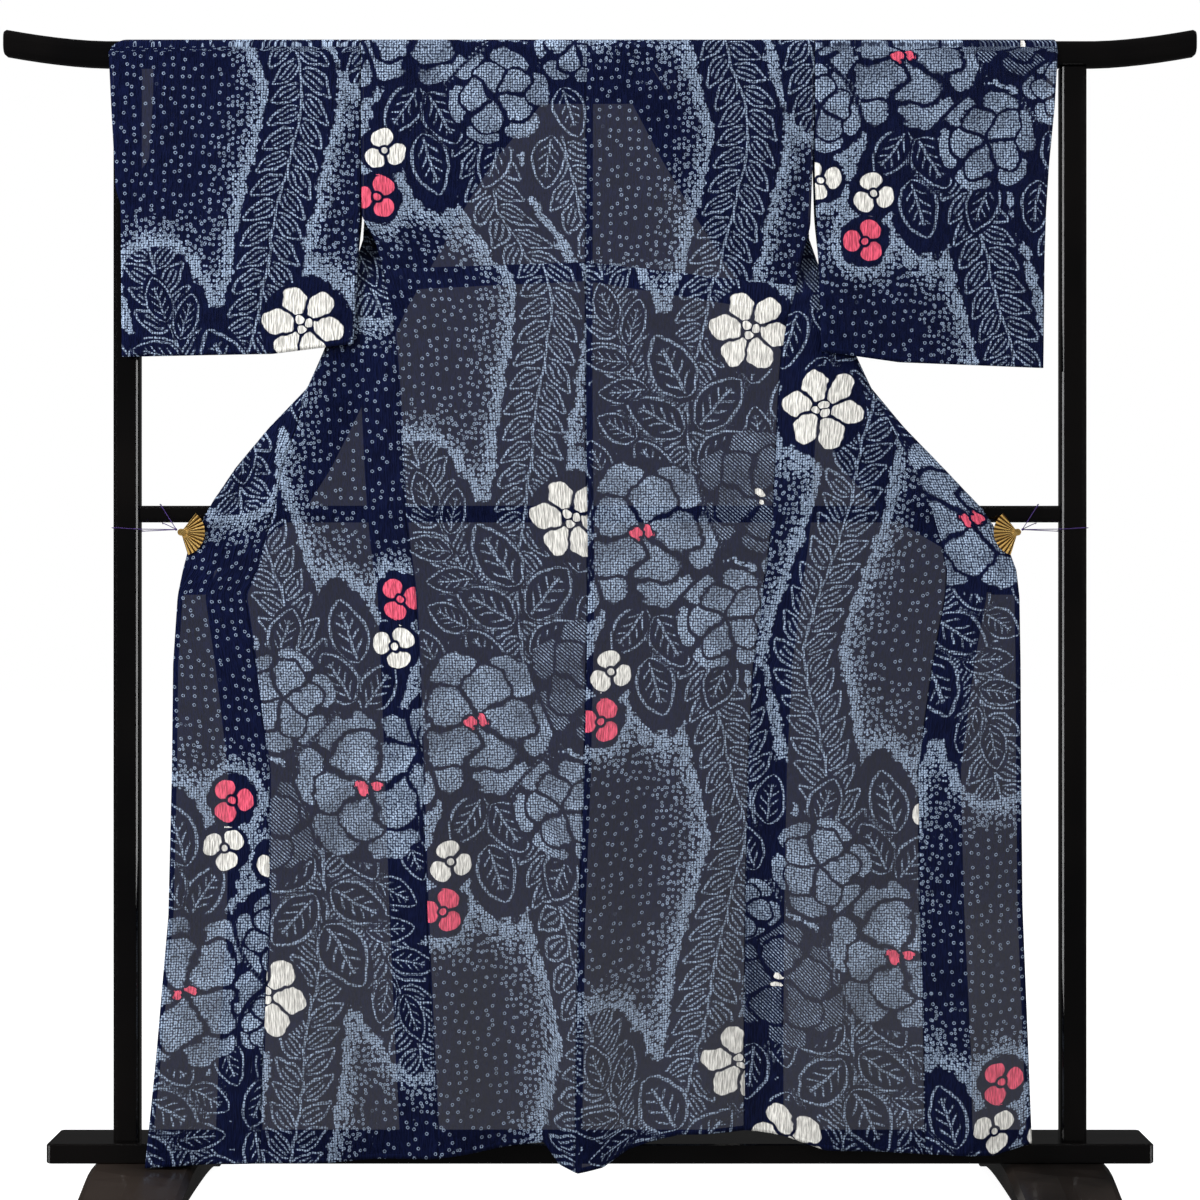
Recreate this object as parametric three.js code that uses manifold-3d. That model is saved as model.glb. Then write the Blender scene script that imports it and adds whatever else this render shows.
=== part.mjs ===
// A yukata seen from the back, hung by its sleeves on a free-standing lacquered stand.
// Millimetres, +Z up, -Y towards the viewer, +X to the viewer's right.
// The origin is on the floor under the middle of the stand.
import * as THREE from 'three';
import Module from 'manifold-3d';
import { mergeVertices } from 'three/addons/utils/BufferGeometryUtils.js';

const wasm = await Module();
wasm.setup();

// Cloth
const clothWall = 1.2;
const seamGap = 0.3;
const slantGap = 1.1;          // the same gap measured level, where a seam slants round the fold
const shoulderZ = 1686.4;      // top of the cloth where it lies over the bar
const neckOut = 92;            // half of the neck opening, from the centre seam
const neckDrop = 30;           // the neck seam lies this far down behind the bar
const collarWidth = 64;        // measured level across the slanting band
const collarEndDrop = 800;
const sleeveHoldDrop = 250;    // the sleeve is sewn to the body down to here
const sideSeamDrop = 382;      // back and front are sewn together from here down
const okumiTipDrop = 215;      // the pointed top of the overlap panel
const foldMeetDrop = 450;      // the overlap's seam comes round the outer fold from here
const foldCrossDrop = 503;     // to here
const collarOutDrop = 640;     // the collar's seam comes out from behind the front from here
const collarOutSpan = 90;      // and has reached the fold this much further down
const levelDrop = 900;         // above here the cloth's rows are level, below they follow the hem
const archDrop = 20.5;         // the cloth leaves the bar's round at this drop
const archSquare = 0.7;
const overBarWide = 36;
const overTurns = [0.1, 0.22, 0.36, 0.5, 0.64, 0.78, 0.9];
const bandHalfNeck = 66;       // the collar's free edge behind the neck: half its length
const bandDrop = 88;           // and how far down it lies
const panelColumns = 12;
const neckColumns = 3;         // of panelColumns, those across half of the neck
const okumiColumns = 7;
const sleeveColumns = 8;
const collarColumns = 4;

// Stand
const barZ = 1665;
const barHigh = 39;
const barDeep = 30;
const barRound = 13;
const barHalfSpan = 859;
const barUpturn = 17;
const barCurveStart = 712;
const postOut = 682;
const postWide = 38;
const postDeep = 30;
const railZ = 1002;
const railHigh = 24;
const railDeep = 20;
const plankTop = 98.6;
const plankThick = 28.6;
const plankHalfSpan = 794;
const plankFrontY = -29;
const plankBackY = 71;
const footOut = 654;
const footWide = 150;
const footReach = 300;         // from the middle of the stand to the tip of a foot
const footPad = 46;            // length of the flat under each tip
const pieceGap = 0.3;

// Clips
const clipZ = 975;
const clipY = -30.3;
const clipOut = { left: 599, right: 597 };
const fanRadius = 34;
const fanRibs = 10;
const heldApart = 4.2;         // between the middles of the two layers in the clip
const heldOut = 585;           // the middle of the clip's leaf
const heldDrop = 715;
const heldEase = 70;           // the layers part again over this much cloth round the clip
const leafApart = 4.7;         // from the clip's middle to each leaf
const cordRadius = 0.6;

// Where the centre seam runs: it hangs a little to the left and swings out low down
const centreSeam = [
  { drop: 0, x: -19 }, { drop: 500, x: -20 }, { drop: 800, x: -17 },
  { drop: 1050, x: -22 }, { drop: 1250, x: -30 }, { drop: 1600, x: -35 },
];

// Level sections of each half, in mm outwards from the middle of the stand:
// side seam, outer fold or free edge, inner edge of the folded-back layer, overlap seam
const leftSections = [
  { drop: 0, side: 343, fold: 343, free: 84, overlap: 84 },
  { drop: 90, side: 343, fold: 343, free: 86, overlap: 150 },
  { drop: 170, side: 343, fold: 343, free: 153, overlap: 217 },
  { drop: 250, side: 342, fold: 342, free: 203, overlap: 267 },
  { drop: 285, side: 322, fold: 343, free: 222, overlap: 289 },
  { drop: 320, side: 312, fold: 353, free: 242, overlap: 315 },
  { drop: 382, side: 299, fold: 374, free: 278, overlap: 360 },
  { drop: 450, side: 292, fold: 398, free: 309, overlap: 396 },
  { drop: 503, side: 288, fold: 421, free: 332, overlap: 420 },
  { drop: 560, side: 285, fold: 475, free: 359, overlap: 434 },
  { drop: 620, side: 282, fold: 524, free: 388, overlap: 455 },
  { drop: 680, side: 278, fold: 563, free: 425, overlap: 466 },
  { drop: 730, side: 273, fold: 588, free: 497, overlap: 481 },
  { drop: 765, side: 268, fold: 597, free: 552, overlap: 490 },
  { drop: 800, side: 263, fold: 604, free: 558, overlap: 507 },
  { drop: 900, side: 258, fold: 610, free: 558, overlap: 491 },
  { drop: 1050, side: 252, fold: 611, free: 558, overlap: 471 },
  { drop: 1250, side: 245, fold: 615, free: 558, overlap: 470 },
  { drop: 1450, side: 236, fold: 632, free: 558, overlap: 479 },
  { drop: 1600, side: 228, fold: 647, free: 558, overlap: 483 },
];
const rightSections = [
  { drop: 0, side: 308, fold: 308, free: 46, overlap: 46 },
  { drop: 90, side: 308, fold: 308, free: 48, overlap: 112 },
  { drop: 170, side: 306, fold: 306, free: 90, overlap: 154 },
  { drop: 250, side: 302, fold: 302, free: 137, overlap: 201 },
  { drop: 285, side: 290, fold: 303, free: 160, overlap: 226 },
  { drop: 320, side: 282, fold: 314, free: 181, overlap: 252 },
  { drop: 382, side: 269, fold: 340, free: 224, overlap: 304 },
  { drop: 450, side: 261, fold: 366, free: 264, overlap: 352 },
  { drop: 503, side: 257, fold: 390, free: 292, overlap: 390 },
  { drop: 560, side: 254, fold: 437, free: 319, overlap: 418 },
  { drop: 620, side: 251, fold: 494, free: 350, overlap: 450 },
  { drop: 680, side: 248, fold: 550, free: 403, overlap: 476 },
  { drop: 730, side: 243, fold: 583, free: 486, overlap: 490 },
  { drop: 765, side: 238, fold: 596, free: 552, overlap: 497 },
  { drop: 800, side: 233, fold: 600, free: 554, overlap: 495 },
  { drop: 900, side: 220, fold: 601, free: 554, overlap: 476 },
  { drop: 1050, side: 212, fold: 601, free: 554, overlap: 455 },
  { drop: 1250, side: 208, fold: 602, free: 554, overlap: 456 },
  { drop: 1450, side: 206, fold: 609, free: 554, overlap: 462 },
  { drop: 1600, side: 206, fold: 614, free: 554, overlap: 463 },
];
const sides = {
  left: { sign: -1, sections: leftSections },
  right: { sign: 1, sections: rightSections },
};

// How the near layer leans forward from the bar, and how far behind it the far layer hangs
const lean = [
  { drop: 0, near: -18, between: overBarWide }, { drop: 300, near: -22, between: overBarWide },
  { drop: 420, near: -24, between: 34 }, { drop: 560, near: -28, between: 24 },
  { drop: 640, near: -30, between: 16 }, { drop: 684, near: -31.6, between: 13 },
  { drop: 725, near: -32, between: 9 }, { drop: 750, near: -32.3, between: 8 },
  { drop: 800, near: -34, between: 6 },
  { drop: 900, near: -38, between: 6 }, { drop: 1250, near: -48, between: 6 },
  { drop: 1600, near: -56, between: 6 },
];

// The hem seen from the back: it dips at the soft fold under the centre seam
const hemLine = [
  { x: -660, drop: 1616 }, { x: -460, drop: 1608 }, { x: -240, drop: 1602 },
  { x: -165, drop: 1591 }, { x: -80, drop: 1578 }, { x: -58, drop: 1608 },
  { x: -32, drop: 1620 }, { x: 4, drop: 1613 }, { x: 40, drop: 1590 },
  { x: 114, drop: 1567 }, { x: 206, drop: 1562 }, { x: 262, drop: 1570 },
  { x: 320, drop: 1588 }, { x: 420, drop: 1595 }, { x: 560, drop: 1597 },
  { x: 620, drop: 1578 },
];

// Soft upright folds: where each stands at its top and at the hem,
// and how wide and deep (towards the viewer) it has become at the hem
const folds = [
  { top: 700, xTop: -22, xHem: -28, wide: 40, deep: 15 },
  { top: 500, xTop: -180, xHem: -128, wide: 34, deep: -9 },
  { top: 620, xTop: -280, xHem: -205, wide: 34, deep: 10 },
  { top: 560, xTop: -395, xHem: -315, wide: 36, deep: -9 },
  { top: 820, xTop: -490, xHem: -405, wide: 38, deep: 10 },
  { top: 860, xTop: -545, xHem: -560, wide: 34, deep: -8 },
  { top: 640, xTop: 70, xHem: 66, wide: 34, deep: -10 },
  { top: 600, xTop: 170, xHem: 150, wide: 38, deep: 11 },
  { top: 520, xTop: 265, xHem: 232, wide: 30, deep: -9 },
  { top: 640, xTop: 370, xHem: 318, wide: 36, deep: 10 },
  { top: 760, xTop: 450, xHem: 410, wide: 36, deep: -9 },
  { top: 860, xTop: 540, xHem: 520, wide: 36, deep: 9 },
];
const foldFloorDrop = 1600;

// A sleeve swings forward from here down, so that it hangs clear of the body and the post
const swingDrop = 150;
const swingOver = 300;
const sleeveForward = 9;
const sleeveCrown = 2.5;       // how much more its middle stands forward than its edges
const leftSleeve = {
  sign: -1, bottom: { inner: 441, middle: 456, outer: 460 }, cuffDrop: 222, farOut: 648,
  rows: [
    { drop: 0, inner: 344, outer: 707 }, { drop: 100, inner: 344, outer: 702 },
    { drop: 218, inner: 344, outer: 695 }, { drop: 240, inner: 344, outer: 688 },
    { drop: 330, inner: 347, outer: 686 }, { drop: 460, inner: 354, outer: 684 },
  ],
};
const rightSleeve = {
  sign: 1, bottom: { inner: 452, middle: 468, outer: 476 }, cuffDrop: 226, farOut: 648,
  rows: [
    { drop: 0, inner: 309, outer: 659 }, { drop: 100, inner: 309, outer: 653 },
    { drop: 180, inner: 308, outer: 645 }, { drop: 250, inner: 310, outer: 640 },
    { drop: 320, inner: 313, outer: 637 }, { drop: 480, inner: 318, outer: 634 },
  ],
};

// Reads a named column of a table between its rows
function along(rows, keyName, key, column) {
  if (key <= rows[0][keyName]) return rows[0][column];
  for (let i = 1; i < rows.length; i += 1) {
    const a = rows[i - 1];
    const b = rows[i];
    if (key <= b[keyName]) {
      const t = (key - a[keyName]) / (b[keyName] - a[keyName]);
      return a[column] + (b[column] - a[column]) * t;
    }
  }
  return rows[rows.length - 1][column];
}

const mix = (a, b, t) => a + (b - a) * t;
const clamp01 = (t) => Math.min(1, Math.max(0, t));
const smooth = (t) => clamp01(t) ** 2 * (3 - 2 * clamp01(t));

// A row of drops from one height to another, no step longer than the one asked for
function dropsBetween(from, to, step) {
  const count = Math.max(1, Math.round(Math.abs(to - from) / step));
  return Array.from({ length: count + 1 }, (_, i) => mix(from, to, i / count));
}

// Low down, the rows stretch or shrink so that the last one lies on the hem line
function hungDrop(x, drop) {
  if (drop <= levelDrop) return drop;
  const hem = along(hemLine, 'x', x, 'drop');
  return levelDrop + (drop - levelDrop) * ((hem - levelDrop) / (foldFloorDrop - levelDrop));
}

function foldDepth(x, drop) {
  let depth = 0;
  for (const fold of folds) {
    const t = clamp01((drop - fold.top) / (foldFloorDrop - fold.top));
    const reach = (x - mix(fold.xTop, fold.xHem, t)) / mix(fold.wide * 0.8, fold.wide, t);
    depth += fold.deep * smooth(t * 1.3) * Math.exp(-reach * reach);
  }
  return depth;
}

const nearY = (x, drop) => along(lean, 'drop', drop, 'near') - foldDepth(x, drop);

// The two layers close up where the clips hold them
function layersApart(x, drop) {
  const apart = along(lean, 'drop', drop, 'between');
  const toClip = Math.hypot(Math.abs(x) - heldOut, drop - heldDrop) - fanRadius;
  return mix(heldApart, apart, smooth(toClip / heldEase));
}

const farY = (x, drop) => nearY(x, drop) + layersApart(x, drop);

// A closed wall of cloth: a grid of middle points, moved half the wall each way,
// with every open edge of the grid closed. keep says which cells are cloth, and facing
// gives a point's own normal where pieces have to meet edge to edge.
function clothWallOf(columns, rows, pointAt, options = {}) {
  const { keep = () => true, wall = clothWall, facing = () => null } = options;
  const middle = [];
  for (let j = 0; j <= rows; j += 1) {
    for (let i = 0; i <= columns; i += 1) middle.push(pointAt(i, j));
  }
  const at = (i, j) => j * (columns + 1) + i;
  const cells = [];
  for (let j = 0; j < rows; j += 1) {
    for (let i = 0; i < columns; i += 1) if (keep(i, j)) cells.push([i, j]);
  }
  const normals = middle.map(() => new THREE.Vector3());
  for (const [i, j] of cells) {
    const a = middle[at(i, j)];
    const b = middle[at(i + 1, j)];
    const c = middle[at(i + 1, j + 1)];
    const d = middle[at(i, j + 1)];
    const across = c.clone().sub(a);
    const normal = across.cross(d.clone().sub(b));
    for (const corner of [at(i, j), at(i + 1, j), at(i + 1, j + 1), at(i, j + 1)]) {
      normals[corner].add(normal.clone().normalize());
    }
  }
  for (let j = 0; j <= rows; j += 1) {
    for (let i = 0; i <= columns; i += 1) {
      const own = facing(i, j);
      if (own) normals[at(i, j)] = own.multiplyScalar(Math.sign(own.dot(normals[at(i, j)])) || 1);
    }
  }
  const vertices = [];
  const place = new Map();
  const vertex = (index, face) => {
    const key = index * 2 + face;
    if (!place.has(key)) {
      const offset = normals[index].clone().normalize();
      const p = middle[index].clone().addScaledVector(offset, face ? wall / 2 : -wall / 2);
      place.set(key, vertices.length / 3);
      vertices.push(p.x, p.y, p.z);
    }
    return place.get(key);
  };
  const triangles = [];
  const quad = (a, b, c, d) => triangles.push(a, b, c, a, c, d);
  const edges = new Map();
  for (const [i, j] of cells) {
    const ring = [at(i, j), at(i + 1, j), at(i + 1, j + 1), at(i, j + 1)];
    quad(...ring.map((k) => vertex(k, 1)));
    quad(...ring.map((k) => vertex(k, 0)).reverse());
    ring.forEach((k, n) => {
      const next = ring[(n + 1) % 4];
      const twin = `${next}_${k}`;
      if (edges.has(twin)) edges.delete(twin);
      else edges.set(`${k}_${next}`, [k, next]);
    });
  }
  for (const [a, b] of edges.values()) {
    quad(vertex(a, 0), vertex(b, 0), vertex(b, 1), vertex(a, 1));
  }
  const geometry = new THREE.BufferGeometry();
  geometry.setAttribute('position', new THREE.Float32BufferAttribute(vertices, 3));
  geometry.setIndex(triangles);
  return outwards(geometry);
}

// Turns a closed geometry's faces out if they all point in
function outwards(geometry) {
  const p = geometry.attributes.position;
  const index = geometry.index.array;
  const [a, b, c] = [new THREE.Vector3(), new THREE.Vector3(), new THREE.Vector3()];
  let volume = 0;
  for (let k = 0; k < index.length; k += 3) {
    a.fromBufferAttribute(p, index[k]);
    b.fromBufferAttribute(p, index[k + 1]);
    c.fromBufferAttribute(p, index[k + 2]);
    volume += a.dot(b.cross(c));
  }
  if (volume < 0) {
    for (let k = 0; k < index.length; k += 3) {
      [index[k], index[k + 1]] = [index[k + 1], index[k]];
    }
  }
  return geometry;
}

// The drops of the rows that front, overlap panel and collar share
const wrapDrops = [
  96, 130, 170, 210, 232, 254, 276, 303, 340, 382, 416, 450, 464, 477, 490, 503, 530, 560, 590,
  620, 650, 675, 692, 705, 718, 730, 745, 765, 797, 806, ...dropsBetween(870, foldFloorDrop, 82),
];

const section = (half, drop, column) => along(half.sections, 'drop', drop, column);

// The front of one half as a level path: from the side seam out to the fold,
// round it, and back in along the far layer. Returns the place after a given run.
function wrapPath(half, drop) {
  const side = section(half, drop, 'side');
  const fold = section(half, drop, 'fold');
  const free = section(half, drop, 'free');
  const open = smooth((drop - sleeveHoldDrop) / (sideSeamDrop - sleeveHoldDrop));
  const below = drop > collarEndDrop;
  const apart = layersApart(half.sign * (fold - 15), drop) * open;
  const radius = below ? 0 : Math.min(apart / 2, (fold - side) / 2);
  const near = fold - side - radius;
  const turn = Math.PI * radius;
  const far = below ? 0 : fold - free - radius;
  const length = below ? fold - side : near + turn + far;
  const place = (run) => {
    if (run <= near || below) {
      const out = side + run;
      const x = half.sign * out;
      return { out, y: farY(x, drop) - layersApart(x, drop) * (below ? 1 : open) };
    }
    if (run <= near + turn) {
      const angle = (run - near) / radius;
      const out = fold - radius + radius * Math.sin(angle);
      const x = half.sign * out;
      const apartHere = layersApart(x, drop) * open;
      return { out, y: farY(x, drop) - (apartHere * (1 + Math.cos(angle))) / 2 };
    }
    const out = fold - radius - (run - near - turn);
    return { out, y: farY(half.sign * out, drop) };
  };
  const facing = (run) => {
    const before = place(run - 0.4);
    const after = place(run + 0.4);
    const run2 = half.sign * (after.out - before.out);
    return new THREE.Vector3(after.y - before.y, -run2, 0).normalize();
  };
  return { near, turn, far, length, apex: near + turn / 2, place, facing, side };
}

const overlapGap = (drop) => (drop >= foldMeetDrop && drop <= 535 ? slantGap : seamGap);
const collarGap = (drop) => (drop > 685 && drop < 800 ? slantGap : seamGap);

// Where the overlap panel starts and ends along that path
function overlapRun(half, path, drop) {
  const seamOut = section(half, drop, 'overlap');
  const collarRun = collarSeamRun(path, drop);
  if (drop <= okumiTipDrop) return { start: collarRun, end: collarRun };
  const onNear = seamOut - path.side;
  const shown = Math.min(onNear, path.apex);
  const room = Math.max(0, collarRun - path.near - path.turn);
  const hidden = collarRun - 0.75 * room * smooth((drop - okumiTipDrop) / 180);
  const crossed = smooth((drop - foldMeetDrop) / (foldCrossDrop - foldMeetDrop));
  return { start: mix(hidden, shown, crossed), end: collarRun };
}

// The collar seam lies behind the front and comes out to the fold at the collar's end
function collarSeamRun(path, drop) {
  if (drop > collarEndDrop) return path.length;
  const toFold = smooth((drop - collarOutDrop) / collarOutSpan);
  return mix(path.length - collarWidth, path.apex, toFold);
}

// Columns gather near the fold, so that it stays round on every row
function gathered(count, from, to, apex) {
  const samples = 60;
  const weight = (run) => 1 + 5 * Math.exp(-(((run - apex) / 16) ** 2));
  const sums = [0];
  for (let k = 1; k <= samples; k += 1) {
    sums.push(sums[k - 1] + weight(mix(from, to, (k - 0.5) / samples)));
  }
  return Array.from({ length: count + 1 }, (_, i) => {
    const goal = (sums[samples] * i) / count;
    let k = 1;
    while (k < samples && sums[k] < goal) k += 1;
    const t = (goal - sums[k - 1]) / (sums[k] - sums[k - 1]);
    return mix(from, to, (k - 1 + t) / samples);
  });
}

const hung = (half, out, y, drop) => {
  const x = half.sign * out;
  return new THREE.Vector3(x, y, shoulderZ - clothWall / 2 - hungDrop(x, drop));
};

// Over the bar: a squarish arch from the near layer to the far one. turn runs from 0 to 1.
function overBar(half, out, turn, near, apart) {
  const angle = Math.PI * turn;
  const across = Math.sign(Math.cos(angle)) * Math.abs(Math.cos(angle)) ** archSquare;
  const y = near + (apart * (1 - across)) / 2;
  const z = shoulderZ - clothWall / 2 - archDrop * (1 - Math.sin(angle) ** archSquare);
  return new THREE.Vector3(half.sign * out, y, z);
}

// One half of the body: the back from its hem up, over the bar, and the front down to its hem
function bodyGeometry(half) {
  const backDrops = dropsBetween(foldFloorDrop, archDrop, 78);
  const archTurns = [...overTurns, 1];
  const frontDrops = [neckDrop, ...wrapDrops];
  const rows = [
    ...backDrops.map((drop) => ({ kind: 'back', drop })),
    ...archTurns.map((turn) => ({ kind: 'arch', turn })),
    ...frontDrops.map((drop) => ({ kind: 'front', drop })),
  ];
  const topCentre = half.sign * along(centreSeam, 'drop', 0, 'x');
  const topSide = section(half, 0, 'side');
  const share = (i) => (i <= neckColumns
    ? (i / neckColumns) * (neckOut / (topSide - topCentre))
    : mix(neckOut / (topSide - topCentre), 1, (i - neckColumns) / (panelColumns - neckColumns)));
  const runsOf = frontDrops.map((drop) => {
    const path = wrapPath(half, drop);
    const { start } = overlapRun(half, path, drop);
    const count = panelColumns - neckColumns;
    const from = drop > sideSeamDrop - 40 ? seamGap : 0;
    return { path, runs: gathered(count, from, start - overlapGap(drop) / 2, path.apex) };
  });
  const firstFront = backDrops.length + archTurns.length;
  const pointAt = (i, j) => {
    const row = rows[j];
    if (row.kind === 'back') {
      const centre = half.sign * along(centreSeam, 'drop', row.drop, 'x') + seamGap / 2;
      const side = section(half, row.drop, 'side') - seamGap / 2;
      const out = mix(centre, side, share(i));
      return hung(half, out, nearY(half.sign * out, row.drop), row.drop);
    }
    if (row.kind === 'arch') {
      const out = mix(topCentre + seamGap / 2, topSide, share(i));
      const near = nearY(half.sign * out, archDrop);
      return overBar(half, out, row.turn, near, farY(half.sign * out, archDrop) - near);
    }
    const { path, runs } = runsOf[j - firstFront];
    if (row.drop === neckDrop) {
      const out = mix(topCentre + seamGap / 2, topSide, share(i));
      return hung(half, out, farY(half.sign * out, row.drop), row.drop);
    }
    if (i < neckColumns) return new THREE.Vector3(0, 0, 0);
    const run = runs[panelColumns - i];
    const spot = path.place(run);
    return hung(half, spot.out, spot.y, row.drop);
  };
  const keep = (i, j) => j < firstFront || i >= neckColumns;
  const facing = (i, j) => {
    if (j <= firstFront || i < neckColumns) return null;
    const { path, runs } = runsOf[j - firstFront];
    return path.facing(runs[panelColumns - i]);
  };
  return clothWallOf(panelColumns, rows.length - 1, pointAt, { keep, facing });
}

// The overlap panel sewn to the front's edge, from its pointed top to the hem
function okumiGeometry(half) {
  const drops = wrapDrops.filter((drop) => drop > okumiTipDrop);
  const lines = drops.map((drop) => {
    const path = wrapPath(half, drop);
    const { start, end } = overlapRun(half, path, drop);
    const last = drop > collarEndDrop ? end : end - collarGap(drop) / 2;
    return { path, runs: gathered(okumiColumns, start + overlapGap(drop) / 2, last, path.apex) };
  });
  const pointAt = (i, j) => {
    const spot = lines[j].path.place(lines[j].runs[i]);
    return hung(half, spot.out, spot.y, drops[j]);
  };
  const facing = (i, j) => lines[j].path.facing(lines[j].runs[i]);
  return clothWallOf(okumiColumns, drops.length - 1, pointAt, { facing });
}

// The collar: a band from one end, up behind the fronts, round the neck and down again
function collarGeometry() {
  const drops = wrapDrops.filter((drop) => drop < collarEndDrop).reverse();
  const stations = [];
  const sideStations = (half) => drops.map((drop) => {
    const path = wrapPath(half, drop);
    const from = collarSeamRun(path, drop) + collarGap(drop) / 2;
    return { half, drop, path, runs: gathered(collarColumns, from, path.length, path.apex) };
  });
  stations.push(...sideStations(sides.left));
  for (const neck of [-1, -0.6, -0.2, 0.2, 0.6, 1]) stations.push({ neck });
  stations.push(...sideStations(sides.right).reverse());
  const neckCentre = along(centreSeam, 'drop', 0, 'x');
  const seamDrop = neckDrop + seamGap + 0.3;
  const pointAt = (i, j) => {
    const station = stations[j];
    if (station.half) {
      const spot = station.path.place(station.runs[i]);
      return hung(station.half, spot.out, spot.y, station.drop);
    }
    const share = i / collarColumns;
    const x = neckCentre + station.neck * mix(neckOut - 2, bandHalfNeck, share);
    const drop = mix(seamDrop, bandDrop, share);
    return new THREE.Vector3(x, farY(x, drop), shoulderZ - clothWall / 2 - drop);
  };
  const facing = (i, j) => (stations[j].half ? stations[j].path.facing(stations[j].runs[i]) : null);
  return clothWallOf(collarColumns, stations.length - 1, pointAt, { facing });
}

// A sleeve: one length of cloth folded over the bar, closed below the cuff and along its foot
function sleeveGeometry(sleeve) {
  const depthRows = dropsBetween(0, 1, 1 / 8).map((t) => t ** 0.9);
  const rows = [
    ...depthRows.slice().reverse().map((t) => ({ kind: 'near', t })),
    ...overTurns.map((turn) => ({ kind: 'arch', turn })),
    ...depthRows.map((t) => ({ kind: 'far', t })),
  ];
  const bottomAt = (across) => (across < 0.35
    ? mix(sleeve.bottom.inner, sleeve.bottom.middle, across / 0.35)
    : mix(sleeve.bottom.middle, sleeve.bottom.outer, (across - 0.35) / 0.65));
  const touching = clothWall + seamGap;
  return clothWallOf(sleeveColumns, rows.length - 1, (i, j) => {
    const row = rows[j];
    const across = i / sleeveColumns;
    const drop = row.kind === 'arch' ? archDrop : mix(archDrop, bottomAt(across), row.t);
    const inner = along(sleeve.rows, 'drop', drop, 'inner') + seamGap / 2;
    const outer = along(sleeve.rows, 'drop', drop, 'outer');
    const swing = smooth((drop - swingDrop) / swingOver);
    const crown = sleeveCrown * Math.sin(across * Math.PI);
    const near = along(lean, 'drop', drop, 'near') - (sleeveForward + crown) * swing;
    if (row.kind === 'near') {
      return clothPoint(sleeve, mix(inner, outer, across), near, drop);
    }
    const rejoin = smooth((drop - 170) / 60);
    const farOuter = mix(Math.min(outer, sleeve.farOut), outer - 1.5, rejoin);
    if (row.kind === 'arch') {
      const out = mix(inner, mix(outer, farOuter, row.turn), across);
      return overBar(sleeve, out, row.turn, near, overBarWide);
    }
    const atCuff = 1 - smooth((drop - 60) / (sleeve.cuffDrop - 78));
    const atBody = 1 - smooth((drop - sleeveHoldDrop) / 75);
    const hollow = 9 * Math.sin(across * Math.PI) * smooth((across + 0.1) * 2);
    const wide = mix(mix(4 + hollow, overBarWide, atBody), mix(touching, overBarWide, atCuff), smooth(across));
    const apart = mix(wide, touching, smooth((row.t - 0.72) / 0.28));
    return clothPoint(sleeve, mix(inner, farOuter, across), near + Math.max(touching, apart), drop);
  });
}

const clothPoint = (part, out, y, drop) => (
  new THREE.Vector3(part.sign * out, y, shoulderZ - clothWall / 2 - drop));

// A bar through level rings: each station has a centre, and the section stands across the run
function loft(stations, ring) {
  const vertices = [];
  stations.forEach((s) => ring.forEach(([u, v]) => {
    vertices.push(s.x + s.ux * u, s.y + s.uy * u + s.vy * v, s.z + s.vz * v);
  }));
  const n = ring.length;
  const triangles = [];
  for (let s = 0; s + 1 < stations.length; s += 1) {
    for (let k = 0; k < n; k += 1) {
      const next = (k + 1) % n;
      const [a, b] = [s * n + k, s * n + next];
      triangles.push(a, b, b + n, a, b + n, a + n);
    }
  }
  const last = (stations.length - 1) * n;
  for (let k = 1; k + 1 < n; k += 1) triangles.push(0, k + 1, k, last, last + k, last + k + 1);
  const geometry = new THREE.BufferGeometry();
  geometry.setAttribute('position', new THREE.Float32BufferAttribute(vertices, 3));
  geometry.setIndex(triangles);
  return outwards(geometry);
}

// A rectangle with round corners, as points in order
function roundedRing(wide, high, radius, steps) {
  const ring = [];
  const corners = [[1, 1, 0], [-1, 1, 90], [-1, -1, 180], [1, -1, 270]];
  for (const [sx, sy, start] of corners) {
    for (let k = 0; k <= steps; k += 1) {
      const angle = THREE.MathUtils.degToRad(start + (90 * k) / steps);
      ring.push([
        sx * (wide / 2 - radius) + radius * Math.cos(angle),
        sy * (high / 2 - radius) + radius * Math.sin(angle),
      ]);
    }
  }
  return ring;
}

// The top bar: level over the posts, both ends rising in a soft curve
function topBarGeometry() {
  const outs = [0, ...dropsBetween(barCurveStart, barHalfSpan - 4, 24), barHalfSpan];
  const xs = [...outs.slice(1).reverse().map((x) => -x), ...outs];
  const rise = (x) => barUpturn * clamp01((Math.abs(x) - barCurveStart) / (barHalfSpan - barCurveStart)) ** 1.6;
  const stations = xs.map((x) => {
    const end = Math.abs(x) === barHalfSpan ? 0.86 : 1;
    return { x, y: 0, z: barZ + rise(x), ux: 0, uy: end, vy: 0, vz: end };
  });
  return loft(stations, roundedRing(barDeep, barHigh, barRound, 4));
}

// An upright post between the plank and the bar
function postGeometry(sign) {
  const stations = [plankTop + pieceGap, barZ - barHigh / 2 - pieceGap].map((z) => (
    { x: sign * postOut, y: 0, z, ux: 1, uy: 0, vy: 1, vz: 0 }));
  return loft(stations, roundedRing(postWide, postDeep, 7, 4));
}

// The rail between the posts
function railGeometry() {
  const end = postOut - postWide / 2 - pieceGap;
  const stations = [-end, end].map((x) => ({ x, y: 0, z: railZ, ux: 0, uy: 1, vy: 0, vz: 1 }));
  return loft(stations, roundedRing(railDeep, railHigh, 7, 4));
}

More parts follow.
